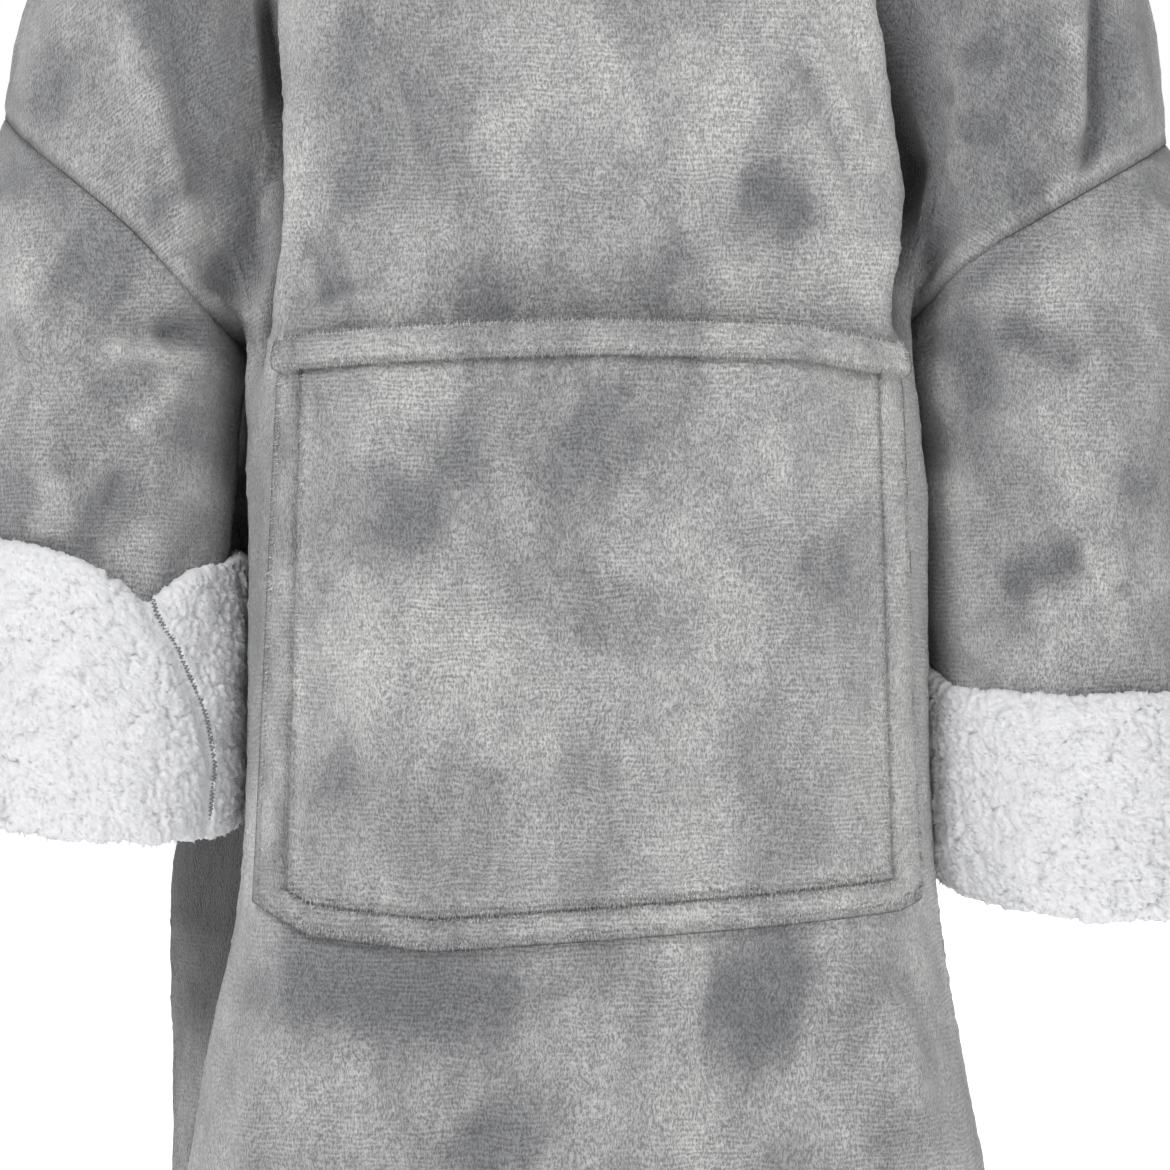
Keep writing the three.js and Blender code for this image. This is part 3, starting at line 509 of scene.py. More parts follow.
def folds_on(grid, normals):
    """Height of the folds, tone of the brushed pile with painted shade in troughs and painted highlight on
    ridges, and painted shade in the troughs, most in the deep creases, at each point of a surface.
    """
    points, facing = grid.reshape(-1, 3), normals.reshape(-1, 3)
    height, tone, shade = np.zeros(len(points)), np.zeros(len(points)), np.zeros(len(points))
    for seen, width, high, mark, path in ((seen, *fold) for seen, folds in FOLDS.items() for fold in folds):
        across, out, sign = SEEN_FROM[seen]
        low, top = np.min(path, 0) - 3 * width, np.max(path, 0) + 3 * width
        at = points[:, [across, 2]]
        near = np.flatnonzero((facing[:, out] * sign > 0.02) & (at > low).all(1) & (at < top).all(1))
        if not len(near):
            continue
        far, taper = along_path(at[near], path)
        shape = bell(far, width) * (0.35 + 0.65 * taper) * smooth(facing[near, out] * sign * 2.2)
        height[near] += high * shape * (FOLD_DEPTH if seen == "front" and high > DEEP_CREASE else 1)
        if high < 0:
            shade[near] += 0.028 * min(-high, 7) * taper * bell(far, 0.7 * width)
        towards = smooth(facing[near, out] * sign * 3.5)
        tone[near] += MARK_TONE * mark * bell(far, 1.25 * width) * taper * towards
        if high <= DEEP_CREASE:
            shade[near] = np.maximum(shade[near], taper * bell(far, 1.2 * width))
    return (values.reshape(grid.shape[:2]) for values in (height, tone, shade))


def waves(points, size, seed, count=7):
    """Soft uneven swells about as long as size, from -1 to 1 or so."""
    random = np.random.default_rng(seed)
    total = np.zeros(points.shape[:-1])
    for _ in range(count):
        turn = unit(random.normal(size=3)) * 2 * np.pi / (size * random.uniform(0.7, 1.5))
        total += np.sin(points @ turn + random.uniform(0, 2 * np.pi))
    return total / math.sqrt(count)


def mesh_object(name, points, faces, looks, groups=None, marks=None):
    """An object from points in millimetres, with the number of each face's look and values at points."""
    mesh = bpy.data.meshes.new(name)
    faces = faces if isinstance(faces, list) else faces.tolist()
    mesh.from_pydata((np.asarray(points) * MM).tolist(), [], faces)
    for look in looks:
        mesh.materials.append(look)
    if groups is not None:
        mesh.polygons.foreach_set("material_index", np.asarray(groups, np.int32))
    mesh.polygons.foreach_set("use_smooth", np.full(len(mesh.polygons), True))
    for mark, values in (marks or {}).items():
        attribute = mesh.attributes.new(mark, "FLOAT", "POINT")
        attribute.data.foreach_set("value", np.ravel(values).astype(np.float32))
    mesh.update()
    piece = bpy.data.objects.new(name, mesh)
    bpy.context.scene.collection.objects.link(piece)
    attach(piece, "root")
    return piece


def down_the_cloth(grid):
    """How far down the cloth each point is: rows run level on the body and slope along the upper arms."""
    x, z = grid[..., 0], grid[..., 2]
    return -z - ARM_SLOPE * np.maximum(np.abs(x) - ARM_ROOT, 0) * ramp(z, -420, 60)


def wall_mesh(name, outer, inner, looks, tone, shade, ring=False, down=None):
    """A closed wall from two grids of one size: its outside has the first look, its inside the second."""
    rows, columns = outer.shape[:2]
    last = columns if ring else columns - 1
    r, c = np.meshgrid(np.arange(rows - 1), np.arange(last), indexing="ij")
    r, c = r.ravel(), c.ravel()
    after = (c + 1) % columns
    size = rows * columns
    out = quads(r * columns, (r + 1) * columns, c, after)
    faces = [out, out[:, ::-1] + size]
    c = np.arange(last)
    after = (c + 1) % columns
    low = (rows - 1) * columns
    faces.append(np.stack([c, after, after + size, c + size], -1))
    faces.append(np.stack([low + after, low + c, low + c + size, low + after + size], -1))
    if not ring:
        r = np.arange(rows - 1) * columns
        faces.append(np.stack([r, r + size, r + columns + size, r + columns], -1))
        far = r + columns - 1
        faces.append(np.stack([far, far + columns, far + columns + size, far + size], -1))
    groups = np.concatenate([np.full(len(f), 1 if i == 1 else 0) for i, f in enumerate(faces)])
    faces = np.concatenate(faces)
    points = np.concatenate([outer.reshape(-1, 3), inner.reshape(-1, 3)])
    if turned_in(points, faces):
        faces = faces[:, ::-1]
    length = -outer[..., 2] if down is None else down
    marks = {"nap_and_painted_light": np.concatenate([tone.ravel(), 0 * tone.ravel()]),
             "down": np.tile(length.ravel() * MM, 2),
             "shade": np.concatenate([shade.ravel(), 0 * shade.ravel()])}
    return mesh_object(name, points, faces, looks, groups, marks)


def quads(row, next_row, column, next_column):
    """Faces between two rows and two columns of points, where a row is given by its first point."""
    return np.stack([row + column, next_row + column, next_row + next_column, row + next_column], -1)


def turned_in(points, faces):
    """Whether the faces of a closed body point inwards."""
    a, b, c, d = (points[faces[:, i]] for i in range(4))
    return (np.cross(b - a, c - a) * a).sum() + (np.cross(c - a, d - a) * a).sum() < 0


def from_edge(grid, row=None, column=None):
    """Straight distance of each point from the first or last row or column."""
    edge = grid[row][None] if row is not None else grid[:, column][:, None]
    return np.linalg.norm(grid - edge, axis=-1)


def seam_dip(far):
    """How far the pile sinks into a seam."""
    return SEAM_DIP * bell(far, SEAM_REACH)


def swells(grid, seed):
    """Large and small soft swells of the cloth, in millimetres."""
    return 1.3 * waves(grid, 130, seed) + 0.45 * waves(grid, 48, seed + 1)


def fuzz(shape, seed):
    """The uneven tips of the pile."""
    return FUZZ * np.random.default_rng(seed).normal(size=shape)


class Look:
    """A material whose nodes are added one by one."""

    def __init__(self, name):
        self.material = bpy.data.materials.new(name)
        self.material.use_nodes = True
        self.nodes, self.links = self.material.node_tree.nodes, self.material.node_tree.links
        self.shader = self.nodes["Principled BSDF"]
        self.place = self.add("ShaderNodeTexCoord").outputs["Object"]

    def add(self, kind, fields=None, **values):
        """A new node. Values go to the inputs of that name, and are sockets or constants."""
        node = self.nodes.new(kind)
        for field, value in (fields or {}).items():
            setattr(node, field, value)
        for name, value in values.items():
            self.set(node.inputs[int(name[1:]) if name[0] == "i" and name[1:].isdigit() else name], value)
        return node

    def set(self, socket, value):
        if isinstance(value, bpy.types.NodeSocket):
            self.links.new(value, socket)
        else:
            socket.default_value = value

    def math(self, operation, a, b=0.0, c=0.0):
        """One sum on up to three values."""
        return self.add("ShaderNodeMath", {"operation": operation}, i0=a, i1=b, i2=c).outputs[0]

    def stretched(self, place, scale):
        """Places multiplied along each axis."""
        return self.add("ShaderNodeVectorMath", {"operation": "MULTIPLY"}, i0=place, i1=scale).outputs[0]

    def noise(self, place, scale, detail=2.0, roughness=0.5, distortion=0.0):
        """Soft random values between 0 and 1."""
        node = self.add("ShaderNodeTexNoise", Vector=place, Scale=scale, Detail=detail, Roughness=roughness,
                        Distortion=distortion)
        return node.outputs["Fac"]

    def spread(self, value, low, high, new_low=0.0, new_high=1.0):
        """A value's range from low to high, carried softly over to a new range."""
        node = self.add("ShaderNodeMapRange", {"interpolation_type": "SMOOTHSTEP"}, i0=value, i1=low, i2=high,
                        i3=new_low, i4=new_high)
        return node.outputs[0]

    def blend(self, share, a, b, kind="MIX"):
        """A colour between two others."""
        node = self.add("ShaderNodeMix", {"data_type": "RGBA", "blend_type": kind}, i0=share, i6=a, i7=b)
        return node.outputs[2]

    def warped(self, scale, amount, place=None):
        """Places moved a little by noise, so that lines on them run unevenly."""
        place = place or self.place
        node = self.add("ShaderNodeTexNoise", Vector=place, Scale=scale, Detail=2.0)
        shift = self.add("ShaderNodeVectorMath", {"operation": "MULTIPLY_ADD"}, i0=node.outputs["Color"],
                         i1=(amount,) * 3, i2=place)
        return shift.outputs[0]

    def bump(self, height, distance, strength=1.0):
        """Fine relief on the surface."""
        node = self.add("ShaderNodeBump", Height=height, Distance=distance, Strength=strength)
        self.links.new(node.outputs["Normal"], self.shader.inputs["Normal"])


def flannel_look(name, dark, light):
    """Plush with short pile: knitted rows, fine tips painted darker in their hollows as painted shade, a
    brushed pile that turns light and dark in patches, and the painted light and shade that each piece
    carries.
    """
    look = Look(name)
    parts = look.add("ShaderNodeSeparateXYZ", Vector=look.place)
    down = look.add("ShaderNodeAttribute", {"attribute_name": "down"}).outputs["Fac"]
    cloth = look.add("ShaderNodeCombineXYZ", X=parts.outputs["X"], Y=parts.outputs["Y"], Z=down).outputs[0]
    brushed = look.warped(10, 0.06)
    patches = look.spread(look.noise(look.stretched(brushed, (14, 14, 6)), 1, 2.5, 0.55), 0.36, 0.64, -1, 1)
    small = look.spread(look.noise(look.stretched(brushed, (46, 46, 20)), 1, 2.5, 0.6), 0.37, 0.63, -1, 1)
    # Each piece's pile marks, with its painted shade and highlight
    marks = look.add("ShaderNodeAttribute", {"attribute_name": "nap_and_painted_light"}).outputs["Fac"]
    nap_and_painted_light = look.math("MULTIPLY_ADD", patches, 0.4, look.math("MULTIPLY_ADD", small, 0.18, marks))
    combed = look.warped(28, 0.011, cloth)
    height = look.add("ShaderNodeSeparateXYZ", Vector=combed).outputs["Z"]
    rows = look.math("SINE", look.math("MULTIPLY", height, 2 * math.pi / ROW_PITCH))
    broken = look.noise(look.stretched(combed, (150, 150, 520)), 1, 2, 0.65)
    strokes = look.noise(look.stretched(combed, (1000, 1000, 360)), 1, 2, 0.8)
    orderly = look.spread(look.noise(look.place, 16, 1), 0.35, 0.65, 0.01, 0.065)
    pile = look.math("MULTIPLY_ADD", rows, look.math("MULTIPLY", orderly, look.spread(broken, 0.35, 0.6)),
                     look.math("MULTIPLY_ADD", broken, 0.16, look.math("MULTIPLY", strokes, 0.84)))
    # Painted shade: the fine pile darker in its hollows, and the cloth darker where a piece carries painted
    # shade
    sunk = look.add("ShaderNodeAttribute", {"attribute_name": "shade"}).outputs["Fac"]
    shade = look.math("MULTIPLY", look.spread(pile, 0.34, 0.66, 0.55, 1.48), look.spread(sunk, 0, 1, 1, 0.1))
    tone = look.blend(look.spread(nap_and_painted_light, -1.5, 1.2), dark, light)
    shaded = look.add("ShaderNodeVectorMath", {"operation": "SCALE"}, i0=tone, Scale=shade).outputs[0]
    look.links.new(shaded, look.shader.inputs["Base Color"])
    look.shader.inputs["Roughness"].default_value = 0.9
    look.shader.inputs["Sheen Weight"].default_value = 0.5
    look.shader.inputs["Sheen Roughness"].default_value = 0.4
    look.bump(pile, PILE_RELIEF)
    return look.material


def fleece_look():
    """White tufts with fine curls, painted shade in the gaps between them and along the sewn edge, and the
    curls a little darker in their hollows as painted shade.
    """
    look = Look("fleece_tufts")
    place = look.warped(60, 0.008)
    curls = look.noise(place, 420, 3, 0.65, 0.8)
    gap = look.add("ShaderNodeAttribute", {"attribute_name": "gap"}).outputs["Fac"]
    tone = look.blend(gap, (0.72, 0.722, 0.738, 1), (0.57, 0.58, 0.605, 1))
    shade = look.spread(curls, 0.3, 0.7, 0.94, 1.05)
    shaded = look.add("ShaderNodeVectorMath", {"operation": "SCALE"}, i0=tone, Scale=shade).outputs[0]
    look.links.new(shaded, look.shader.inputs["Base Color"])
    look.shader.inputs["Roughness"].default_value = 1
    look.shader.inputs["Sheen Weight"].default_value = 0.25
    look.bump(curls, CURL_RELIEF, 0.5)
    return look.material


def thread_look():
    """Grey sewing thread with a fine twist."""
    look = Look("overlock_thread")
    twist = look.noise(look.stretched(look.place, (1800, 1800, 1800)), 1, 1)
    shade = look.spread(twist, 0.35, 0.65, 0.7, 1.2)
    grey = (0.2, 0.205, 0.22)
    shaded = look.add("ShaderNodeVectorMath", {"operation": "SCALE"}, i0=grey, Scale=shade).outputs[0]
    look.links.new(shaded, look.shader.inputs["Base Color"])
    look.shader.inputs["Roughness"].default_value = 0.7
    look.bump(twist, TWIST_RELIEF, 0.6)
    return look.material


flannel = flannel_look("flannel_plush", (0.19, 0.193, 0.202, 1), (0.54, 0.538, 0.532, 1))
# A lighter copy of the plush for the pocket's fringe: painted light that makes up for the shade among its
# slim cones
lit_pile_tips = flannel_look("flannel_pile_tips", (0.42, 0.423, 0.43, 1), (0.8, 0.798, 0.79, 1))
fleece = fleece_look()
thread = thread_look()
cuff_tops = {}
looks = [flannel, fleece]


def pocket_cover(grid):
    """1 where the pocket lies on the front, falling to 0 just outside it."""
    x, z = grid[..., 0], grid[..., 2]
    left, right, top, foot = POCKET_COVER
    inside = np.minimum(np.minimum(x - left, right - x), np.minimum(top - z, z - foot))
    return smooth(inside / COVER_FADE + 1) * (grid[..., 1] < 0)


def panel_piece(name, facing, fine, seed):
    """The front or back panel: folds, sunk seams, the pile's tone with painted highlight and shade on the
    yoke, arms, skirt and sides, and painted shade in seams and creases.
    """
    grid = panel_grid(facing, fine)
    normals = panel_normals(grid, fine)
    height, tone, crease_shade = folds_on(grid, normals)
    height = height + swells(grid, seed)
    x, z, sideways = np.abs(grid[..., 0]), grid[..., 2], np.abs(normals[..., 0])
    if facing < 0:
        height *= 1 - pocket_cover(grid)
        height *= 1 - 0.75 * ramp(sideways, 0.6, 0.3) * ramp(-z, 370, 30)
    edges = np.minimum(from_edge(grid, column=0), from_edge(grid, column=-1))
    edges = np.minimum(edges, from_edge(grid, row=0))
    height *= smooth(edges / SEAM_CALM)
    outer = grid + normals * (height + fuzz(height.shape, seed) - seam_dip(edges))[..., None]
    inner = grid + normals * (height - CLOTH)[..., None]
    yoke = ramp(z, YOKE_FOOT, 20)
    skirt = ramp(-z, -YOKE_FOOT, 40)
    # Painted highlight on the pile beside the yoke's seams, and painted shade where the yoke turns down over
    # the arms
    tone = tone + 0.45 * yoke * bell(edges - 7, 6) - 0.55 * yoke * ramp(x, 175, 30)
    # Darker from the pocket's foot down to the hem
    tone = tone - 0.3 * ramp(-z, 700, 40)
    if facing < 0:
        # Painted sheen where the front's sides turn away, turned into painted shadow of the cuff beside the
        # left cuff
        turned = ramp(sideways, 0.5, 0.4) * skirt
        cuff_shadow = (grid[..., 0] < 0) * ramp(z, -660, 60)
        tone = tone + turned * (0.6 - 0.85 * cuff_shadow)
        behind = 0
    else:
        # Painted shade on the back's parts that face forward below the yoke, darkest up by the cuffs and
        # lighter towards the hem
        behind = smooth(-2.5 * normals[..., 1] + 0.6) * skirt * (0.75 - 0.5 * ramp(-z, 640, 260))
    # Painted shade: in the seams, along the side seams below the yoke, in the creases and on the back's
    # forward parts
    shade = 0.5 * bell(edges, 2) + (1 - yoke) * 0.6 * bell(edges, 24) + crease_shade + behind
    return wall_mesh(name, outer, inner, looks, tone, shade, down=down_the_cloth(grid))


def sleeve_piece(name, side):
    """A sleeve from its armhole down, whose wall meets the body's at the seam."""
    body = [panel_grid(facing, SLEEVE_FINE) for facing in (-1, 1)]
    body_n = [panel_normals(grid, SLEEVE_FINE) for grid in body]
    ring = armhole(*body, side, SLEEVE_FINE)
    grid = sleeve_grid(SLEEVES[name], side, ring, SLEEVE_FINE)
    normals = grid_normals(grid, levelled(grid) + [side * SLEEVE_MIDDLE, 0, 0], True)
    wall = unit(armhole(*body_n, side, SLEEVE_FINE) + normals[0] - [0, 0, UNDERARM_TURN])
    tangent = unit(np.roll(ring, -1, 0) - np.roll(ring, 1, 0))
    across = unit(np.cross(tangent, wall))
    across *= np.where((across * [side, 0, -1]).sum(-1) < 0, -1, 1)[:, None]
    grid = sleeve_grid(SLEEVES[name], side, ring + across * SEAM_GAP, SLEEVE_FINE)
    normals = grid_normals(grid, levelled(grid) + [side * SLEEVE_MIDDLE, 0, 0], True)
    height, tone, crease_shade = folds_on(grid, normals)
    seam = from_edge(grid, row=0)
    above_cuff = smooth((grid[..., 2] - grid[-1, :, 2].mean() - CUFFS[name][1] + 25) / 22)
    outward = normals[..., 0] * side
    free = smooth(seam / SEAM_CALM) * above_cuff
    free *= smooth(2.2 + 2.6 * outward)
    fuller = INNER_FULLNESS * smooth(-outward * 1.3) * ramp(seam, 30, 60)
    height = (height + swells(grid, 30 + side)) * free + fuller
    outer = grid + normals * (height + fuzz(height.shape, 40 + side) - seam_dip(seam))[..., None]
    inner = grid + normals * (height - CLOTH)[..., None]
    # Painted shade: the sleeves darker than the body and darker beside the armhole seam, the right sleeve a
    # little lighter than the left; painted shade along the seam and in the creases
    tone = tone - SLEEVE_SHADE + 0.06 * side - 0.3 * bell(seam, 14)
    shade = 0.4 * bell(seam, 2.2) + crease_shade
    return wall_mesh(f"sleeve_{name}_tube", outer, inner, looks, tone, shade, True)


def heights_on(columns, z):
    """The points at height z on polylines that go down, carried on straight past their ends."""
    found = np.empty((columns.shape[1], 3))
    for i in range(columns.shape[1]):
        line = columns[:, i]
        above = np.clip(np.searchsorted(-line[:, 2], -z[i]) - 1, 0, len(line) - 2)
        a, b = line[above], line[above + 1]
        found[i] = a + (b - a) * (z[i] - a[2]) / (b[2] - a[2])
    return found


def cuff_piece(name, side, around, along):
    """A turned-back cuff: a profile swept round the lower rings of its sleeve."""
    rows = SLEEVES[name]
    drop, high, dip, notch_turn, spread, deep = CUFFS[name]
    rings = np.array([sleeve_ring(row, side, around) for row in rows])
    turn = 2 * np.pi * np.arange(around) / around
    notch = deep * bell(turn / (2 * np.pi) - notch_turn, spread)
    height = high + dip * np.cos(turn) - notch
    half, wide = rows[-1][3], rows[-1][4]
    away = unit(np.stack([side * np.cos(turn) / half, -np.sin(turn) / wide, 0 * turn], -1))
    profile = np.array(CUFF_PROFILE + CUFF_PROFILE[:3], float)
    spans = len(CUFF_PROFILE)
    profile = spline(profile[:, None, :], np.linspace(1, spans + 1, 60 * spans + 1))[:, 0]
    steps = np.linalg.norm(np.diff(profile * [CUFF_CLOTH, high], axis=0), axis=1)
    steps *= np.where(profile[1:, 0] > 0.5, 1, HIDDEN_SHARE)
    lengths = np.concatenate([[0], np.cumsum(steps)])
    at = np.linspace(0, lengths[-1], along + 1)[:-1]
    loops = []
    for out, up in read_along(at, lengths, profile):
        z = rings[-1][:, 2] - drop + height * up
        loops.append(heights_on(rings, z) + away * (2 * SEAM_GAP + out * CUFF_CLOTH))
    return np.array(loops)


def domes(points, size, seed):
    """Round tufts about as wide as size: their height from 0 to 1, and the shaded gaps between them."""
    random = np.random.default_rng(seed)
    rows, columns = points.shape[:2]
    along = np.linalg.norm(np.diff(points[:, 0], axis=0), axis=1).sum()
    around = np.linalg.norm(np.diff(points[rows // 3], axis=0), axis=1).sum()
    tuft_rows, tuft_columns = max(2, round(along / size)), max(2, round(around / size))
    i, j = (g.ravel() for g in np.meshgrid(np.arange(tuft_rows), np.arange(tuft_columns), indexing="ij"))
    i = ((i + random.uniform(-0.42, 0.42, i.shape)) * rows / tuft_rows).astype(int) % rows
    j = ((j + random.uniform(-0.42, 0.42, j.shape)) * columns / tuft_columns).astype(int) % columns
    tree = KDTree(len(i))
    for k, place in enumerate(points[i, j]):
        tree.insert(place, k)
    tree.balance()
    found = [tree.find(place)[1:] for place in points.reshape(-1, 3)]
    own, far = (np.array(values).reshape(rows, columns) for values in zip(*found))
    away = far / (0.72 * size * random.uniform(0.8, 1.1, len(i))[own])
    height = np.sqrt(np.maximum(1 - away ** 2, 0)) * random.uniform(0.65, 1, len(i))[own]
    return height, ramp(away, 0.75, 0.3)


def loop_faces(loops):
    """The faces between loops, with the last loop joined to the first."""
    count, around = loops.shape[:2]
    j, i = (g.ravel() for g in np.meshgrid(np.arange(count), np.arange(around), indexing="ij"))
    after, along = (j + 1) % count, (i + 1) % around
    faces = quads(j * around, after * around, i, along)
    return faces[:, ::-1] if turned_in(loops.reshape(-1, 3), faces) else faces


def surface_tree(loops):
    """The surface through the loops, made ready for rays."""
    return BVHTree.FromPolygons(loops.reshape(-1, 3).tolist(), loop_faces(loops).tolist())


def sewn_line(name, tree):
    """The cuff's sewn edge as points on its surface, with the surface's normals there."""
    eye, plane, path = SEWN[name]
    flat = spline(np.array(path, float)[:, None], np.linspace(0, len(path) - 1, 120))[:, 0]
    line = []
    for x, z in flat:
        hit, normal, _, _ = tree.ray_cast(Vector(eye), Vector((x, plane, z)) - Vector(eye))
        if hit:
            line.append((*hit, *normal))
    line = np.array(line)
    return line[:, :3], line[:, 3:]


def beside(points, line, normals):
    """Distance of points from a line on the surface, less than 0 on its left."""
    tree = KDTree(len(line))
    for k, place in enumerate(line):
        tree.insert(place, k)
    tree.balance()
    across = unit(np.cross(np.gradient(line, axis=0), normals))
    far = np.empty(len(points))
    for k, place in enumerate(points):
        _, own, gap = tree.find(place)
        far[k] = math.copysign(gap, (place - line[own]) @ across[own])
    return far


def cuff_fleece(name, side):
    """The cuff's surface raised in tufts, with a ledge along its sewn edge."""
    loops = cuff_piece(name, side, CUFF_AROUND, CUFF_ALONG)
    around = np.roll(loops, -1, 1) - np.roll(loops, 1, 1)
    along = np.roll(loops, -1, 0) - np.roll(loops, 1, 0)
    normals = unit(np.cross(around, along))
    middle = loops.mean(0)
    if (normals * (loops - middle)).sum() < 0:
        normals = -normals
    line, line_normals = sewn_line(name, surface_tree(loops))
    far = beside(loops.reshape(-1, 3), line, line_normals).reshape(loops.shape[:2])
    bent = loops + 2.2 * np.stack([waves(loops, 18, 80 + k) for k in range(3)], -1)
    big, gap_shade_big = domes(bent, BIG_TUFT[0], 90 + side)
    small, gap_shade_small = domes(bent, SMALL_TUFT[0], 94 + side)
    height = BIG_TUFT[1] * big + SMALL_TUFT[1] * small - FLEECE_SINK
    height = height + 1.2 * waves(loops, 42, 97) + fuzz(far.shape, 98)
    # Painted shade in the gaps between the tufts
    gap = 0.5 * gap_shade_big * smooth(0.45 + waves(loops, 30, 98)) + 0.2 * gap_shade_small
    under = far > 0
    right = under * smooth(1 - far / 13)
    left = (far <= 0) * smooth(1 + far / 9)
    height = height * (1 - 0.75 * right - 0.6 * left) - 2.2 * right + 1.6 * left
    gap = gap * (1 - right) * (1 - left)
    # Painted shade in the sewn edge's groove and on the recessed part beside it
    gap = gap + 0.5 * under * smooth(1 - far / 2.5) + 0.3 * under * smooth(1 - far / 40)
    outward = loops - loops.mean(1, keepdims=True) * [1, 1, 0] - loops * [0, 0, 1]
    open_side = (normals * unit(outward)).sum(-1) > -0.3
    return loops + normals * height[..., None], gap, normals, open_side, line, line_normals


def loop_mesh(name, loops, looks, marks=None):
    """A closed body from loops that follow each other round a profile."""
    return mesh_object(name, loops.reshape(-1, 3), loop_faces(loops), looks, None, marks)


def tube(line, first, second, radius, sides):
    """A closed round strip along a line, from two directions across it at each point: points and faces."""
    turns = 2 * np.pi * np.arange(sides) / sides
    around = np.cos(turns)[:, None] * first[:, None] + np.sin(turns)[:, None] * second[:, None]
    points = (line[:, None] + radius * around).reshape(-1, 3)
    j, i = (g.ravel() for g in np.meshgrid(np.arange(len(line) - 1), np.arange(sides), indexing="ij"))
    faces = quads(j * sides, (j + 1) * sides, i, (i + 1) % sides)
    ends = [list(range(sides))[::-1], list(range(len(points) - sides, len(points)))]
    if turned_in(points - line.mean(0), faces):
        faces, ends = faces[:, ::-1], [end[::-1] for end in ends]
    return points, [*faces.tolist(), *ends]


def sewn_thread(name, line, normals, look):
    """The overlocked thread along a cuff's sewn edge: it crosses the edge and back at each stitch."""
    across = unit(np.cross(np.gradient(line, axis=0), normals))
    lengths = lengths_of(line)
    random = np.random.default_rng(120)
    path = []
    for step in range(FIRST_STITCH, int(2 * lengths[-1] / STITCH_PITCH)):
        at = step * STITCH_PITCH / 2 + random.uniform(-0.2, 0.2)
        place, over, out = (read_along(at, lengths, values) for values in (line, across, normals))
        aside, lift = STITCH_ENDS[step % 2]
        path.append(place + over * (aside + random.uniform(-0.25, 0.25)) + out * lift)
    path = spline(np.array(path)[:, None], np.linspace(0, len(path) - 1, 3 * len(path)))[:, 0]
    ahead = unit(np.gradient(path, axis=0))
    out = unit(path - path.mean(0) * [1, 0, 1])
    first = unit(np.cross(ahead, out))
    piece = mesh_object(name, *tube(path, first, np.cross(ahead, first), THREAD_RADIUS, 5), [look])
    return piece


class FrontDepth:
    """How far forward the front panel is at a place seen from in front."""

    def __init__(self, grid, step=2.0):
        self.low, self.step = np.array([-260.0, -930.0]), step
        self.z = np.arange(-930, -100, step)
        self.x = np.arange(-260, 260 + step, step)
        self.table = np.empty((len(self.z), len(self.x)))
        columns = np.swapaxes(grid, 0, 1)[:, ::-1]
        xs, ys = (np.array([np.interp(self.z, line[:, 2], line[:, i]) for line in columns]) for i in (0, 1))
        for k in range(len(self.z)):
            order = np.argsort(xs[:, k])
            self.table[k] = np.interp(self.x, xs[order, k], ys[order, k])

    def __call__(self, x, z):
        i = np.clip((x - self.x[0]) / self.step, 0, len(self.x) - 1.001)
        k = np.clip((z - self.z[0]) / self.step, 0, len(self.z) - 1.001)
        i0, k0 = i.astype(int), k.astype(int)
        u, v = i - i0, k - k0
        t = self.table
        return ((t[k0, i0] * (1 - u) + t[k0, i0 + 1] * u) * (1 - v)
                + (t[k0 + 1, i0] * (1 - u) + t[k0 + 1, i0 + 1] * u) * v)


def read_table(rows, at):
    """A table's values, read between its rows."""
    return np.interp(at, [row[0] for row in rows], [row[1] for row in rows])


def pocket_places(near, far, inside):
    """Kinds and values of a pocket's rows or columns: 0 from the near edge, 1 inside, 2 from the far edge."""
    share = np.linspace(0, 1, inside + 2)[1:-1]
    kinds = np.concatenate([np.zeros(len(near)), np.ones(inside), np.full(len(far), 2)])
    return kinds, np.concatenate([near, share, far[::-1]])


def place_between(kinds, values, near, far, near_width, far_width, near_last, far_last):
    """Where the pocket's rows or columns lie between its near and far edge."""
    sign = np.sign(far - near)
    start = near + sign * near_last * near_width
    end = far - sign * far_last * far_width
    return np.select([kinds == 0, kinds == 2],
                     [near + sign * values * near_width, far - sign * values * far_width],
                     start + (end - start) * values)


def pocket_edges(x, z):
    """The pocket's top, foot, left and right edge and its flange's width, at places on the front."""
    top, foot = read_table(POCKET_TOP, x), read_table(POCKET_FOOT, x)
    down = (top - z) / (top - foot)
    left = POCKET_LEFT[0] + (POCKET_LEFT[1] - POCKET_LEFT[0]) * down
    right = POCKET_RIGHT[0] + (POCKET_RIGHT[1] - POCKET_RIGHT[0]) * down
    flange = POCKET_FLANGE[0] + (POCKET_FLANGE[1] - POCKET_FLANGE[0]) * down
    return top, foot, left, right, flange


def pocket_grid(depth_at):
    """The pocket's places on the front and, for each, its gap, wall and distances to its edges."""
    hem_keys = np.linspace(0, 2, 25)
    side_keys = np.linspace(0, 2.4, 27)
    rk, rv = pocket_places(hem_keys, side_keys, 90)
    ck, cv = pocket_places(side_keys, side_keys, 90)
    rk, ck = np.meshgrid(rk, ck, indexing="ij")
    rv, cv = np.meshgrid(rv, cv, indexing="ij")
    x, z = np.zeros(rk.shape), np.full(rk.shape, POCKET_TOP[0][1], float)
    for _ in range(3):
        top, foot, left, right, flange = pocket_edges(x, z)
        z = place_between(rk, rv, top, foot, POCKET_HEM, POCKET_FLANGE[1], hem_keys[-1], side_keys[-1])
        x = place_between(ck, cv, left, right, flange, flange, side_keys[-1], side_keys[-1])
    top, foot, left, right, flange = pocket_edges(x, z)
    side = np.minimum(x - left, right - x) / flange
    low = (z - foot) / POCKET_FLANGE[1]
    hem = (top - z) / POCKET_HEM
    flange_wall = read_table(FLANGE_WALL, np.minimum(side, low))
    hem_wall = read_table(HEM_WALL, hem)
    puff = smooth((side - 1) * flange / PUFF_REACH) * smooth((low - 1) * POCKET_FLANGE[1] / PUFF_REACH)
    wall = np.where(hem < 1, hem_wall, np.minimum(hem_wall, flange_wall))
    base = np.stack([x, depth_at(x, z), z], -1)
    return base, POCKET_LIFT + POCKET_PUFF * puff, wall, side, low, hem


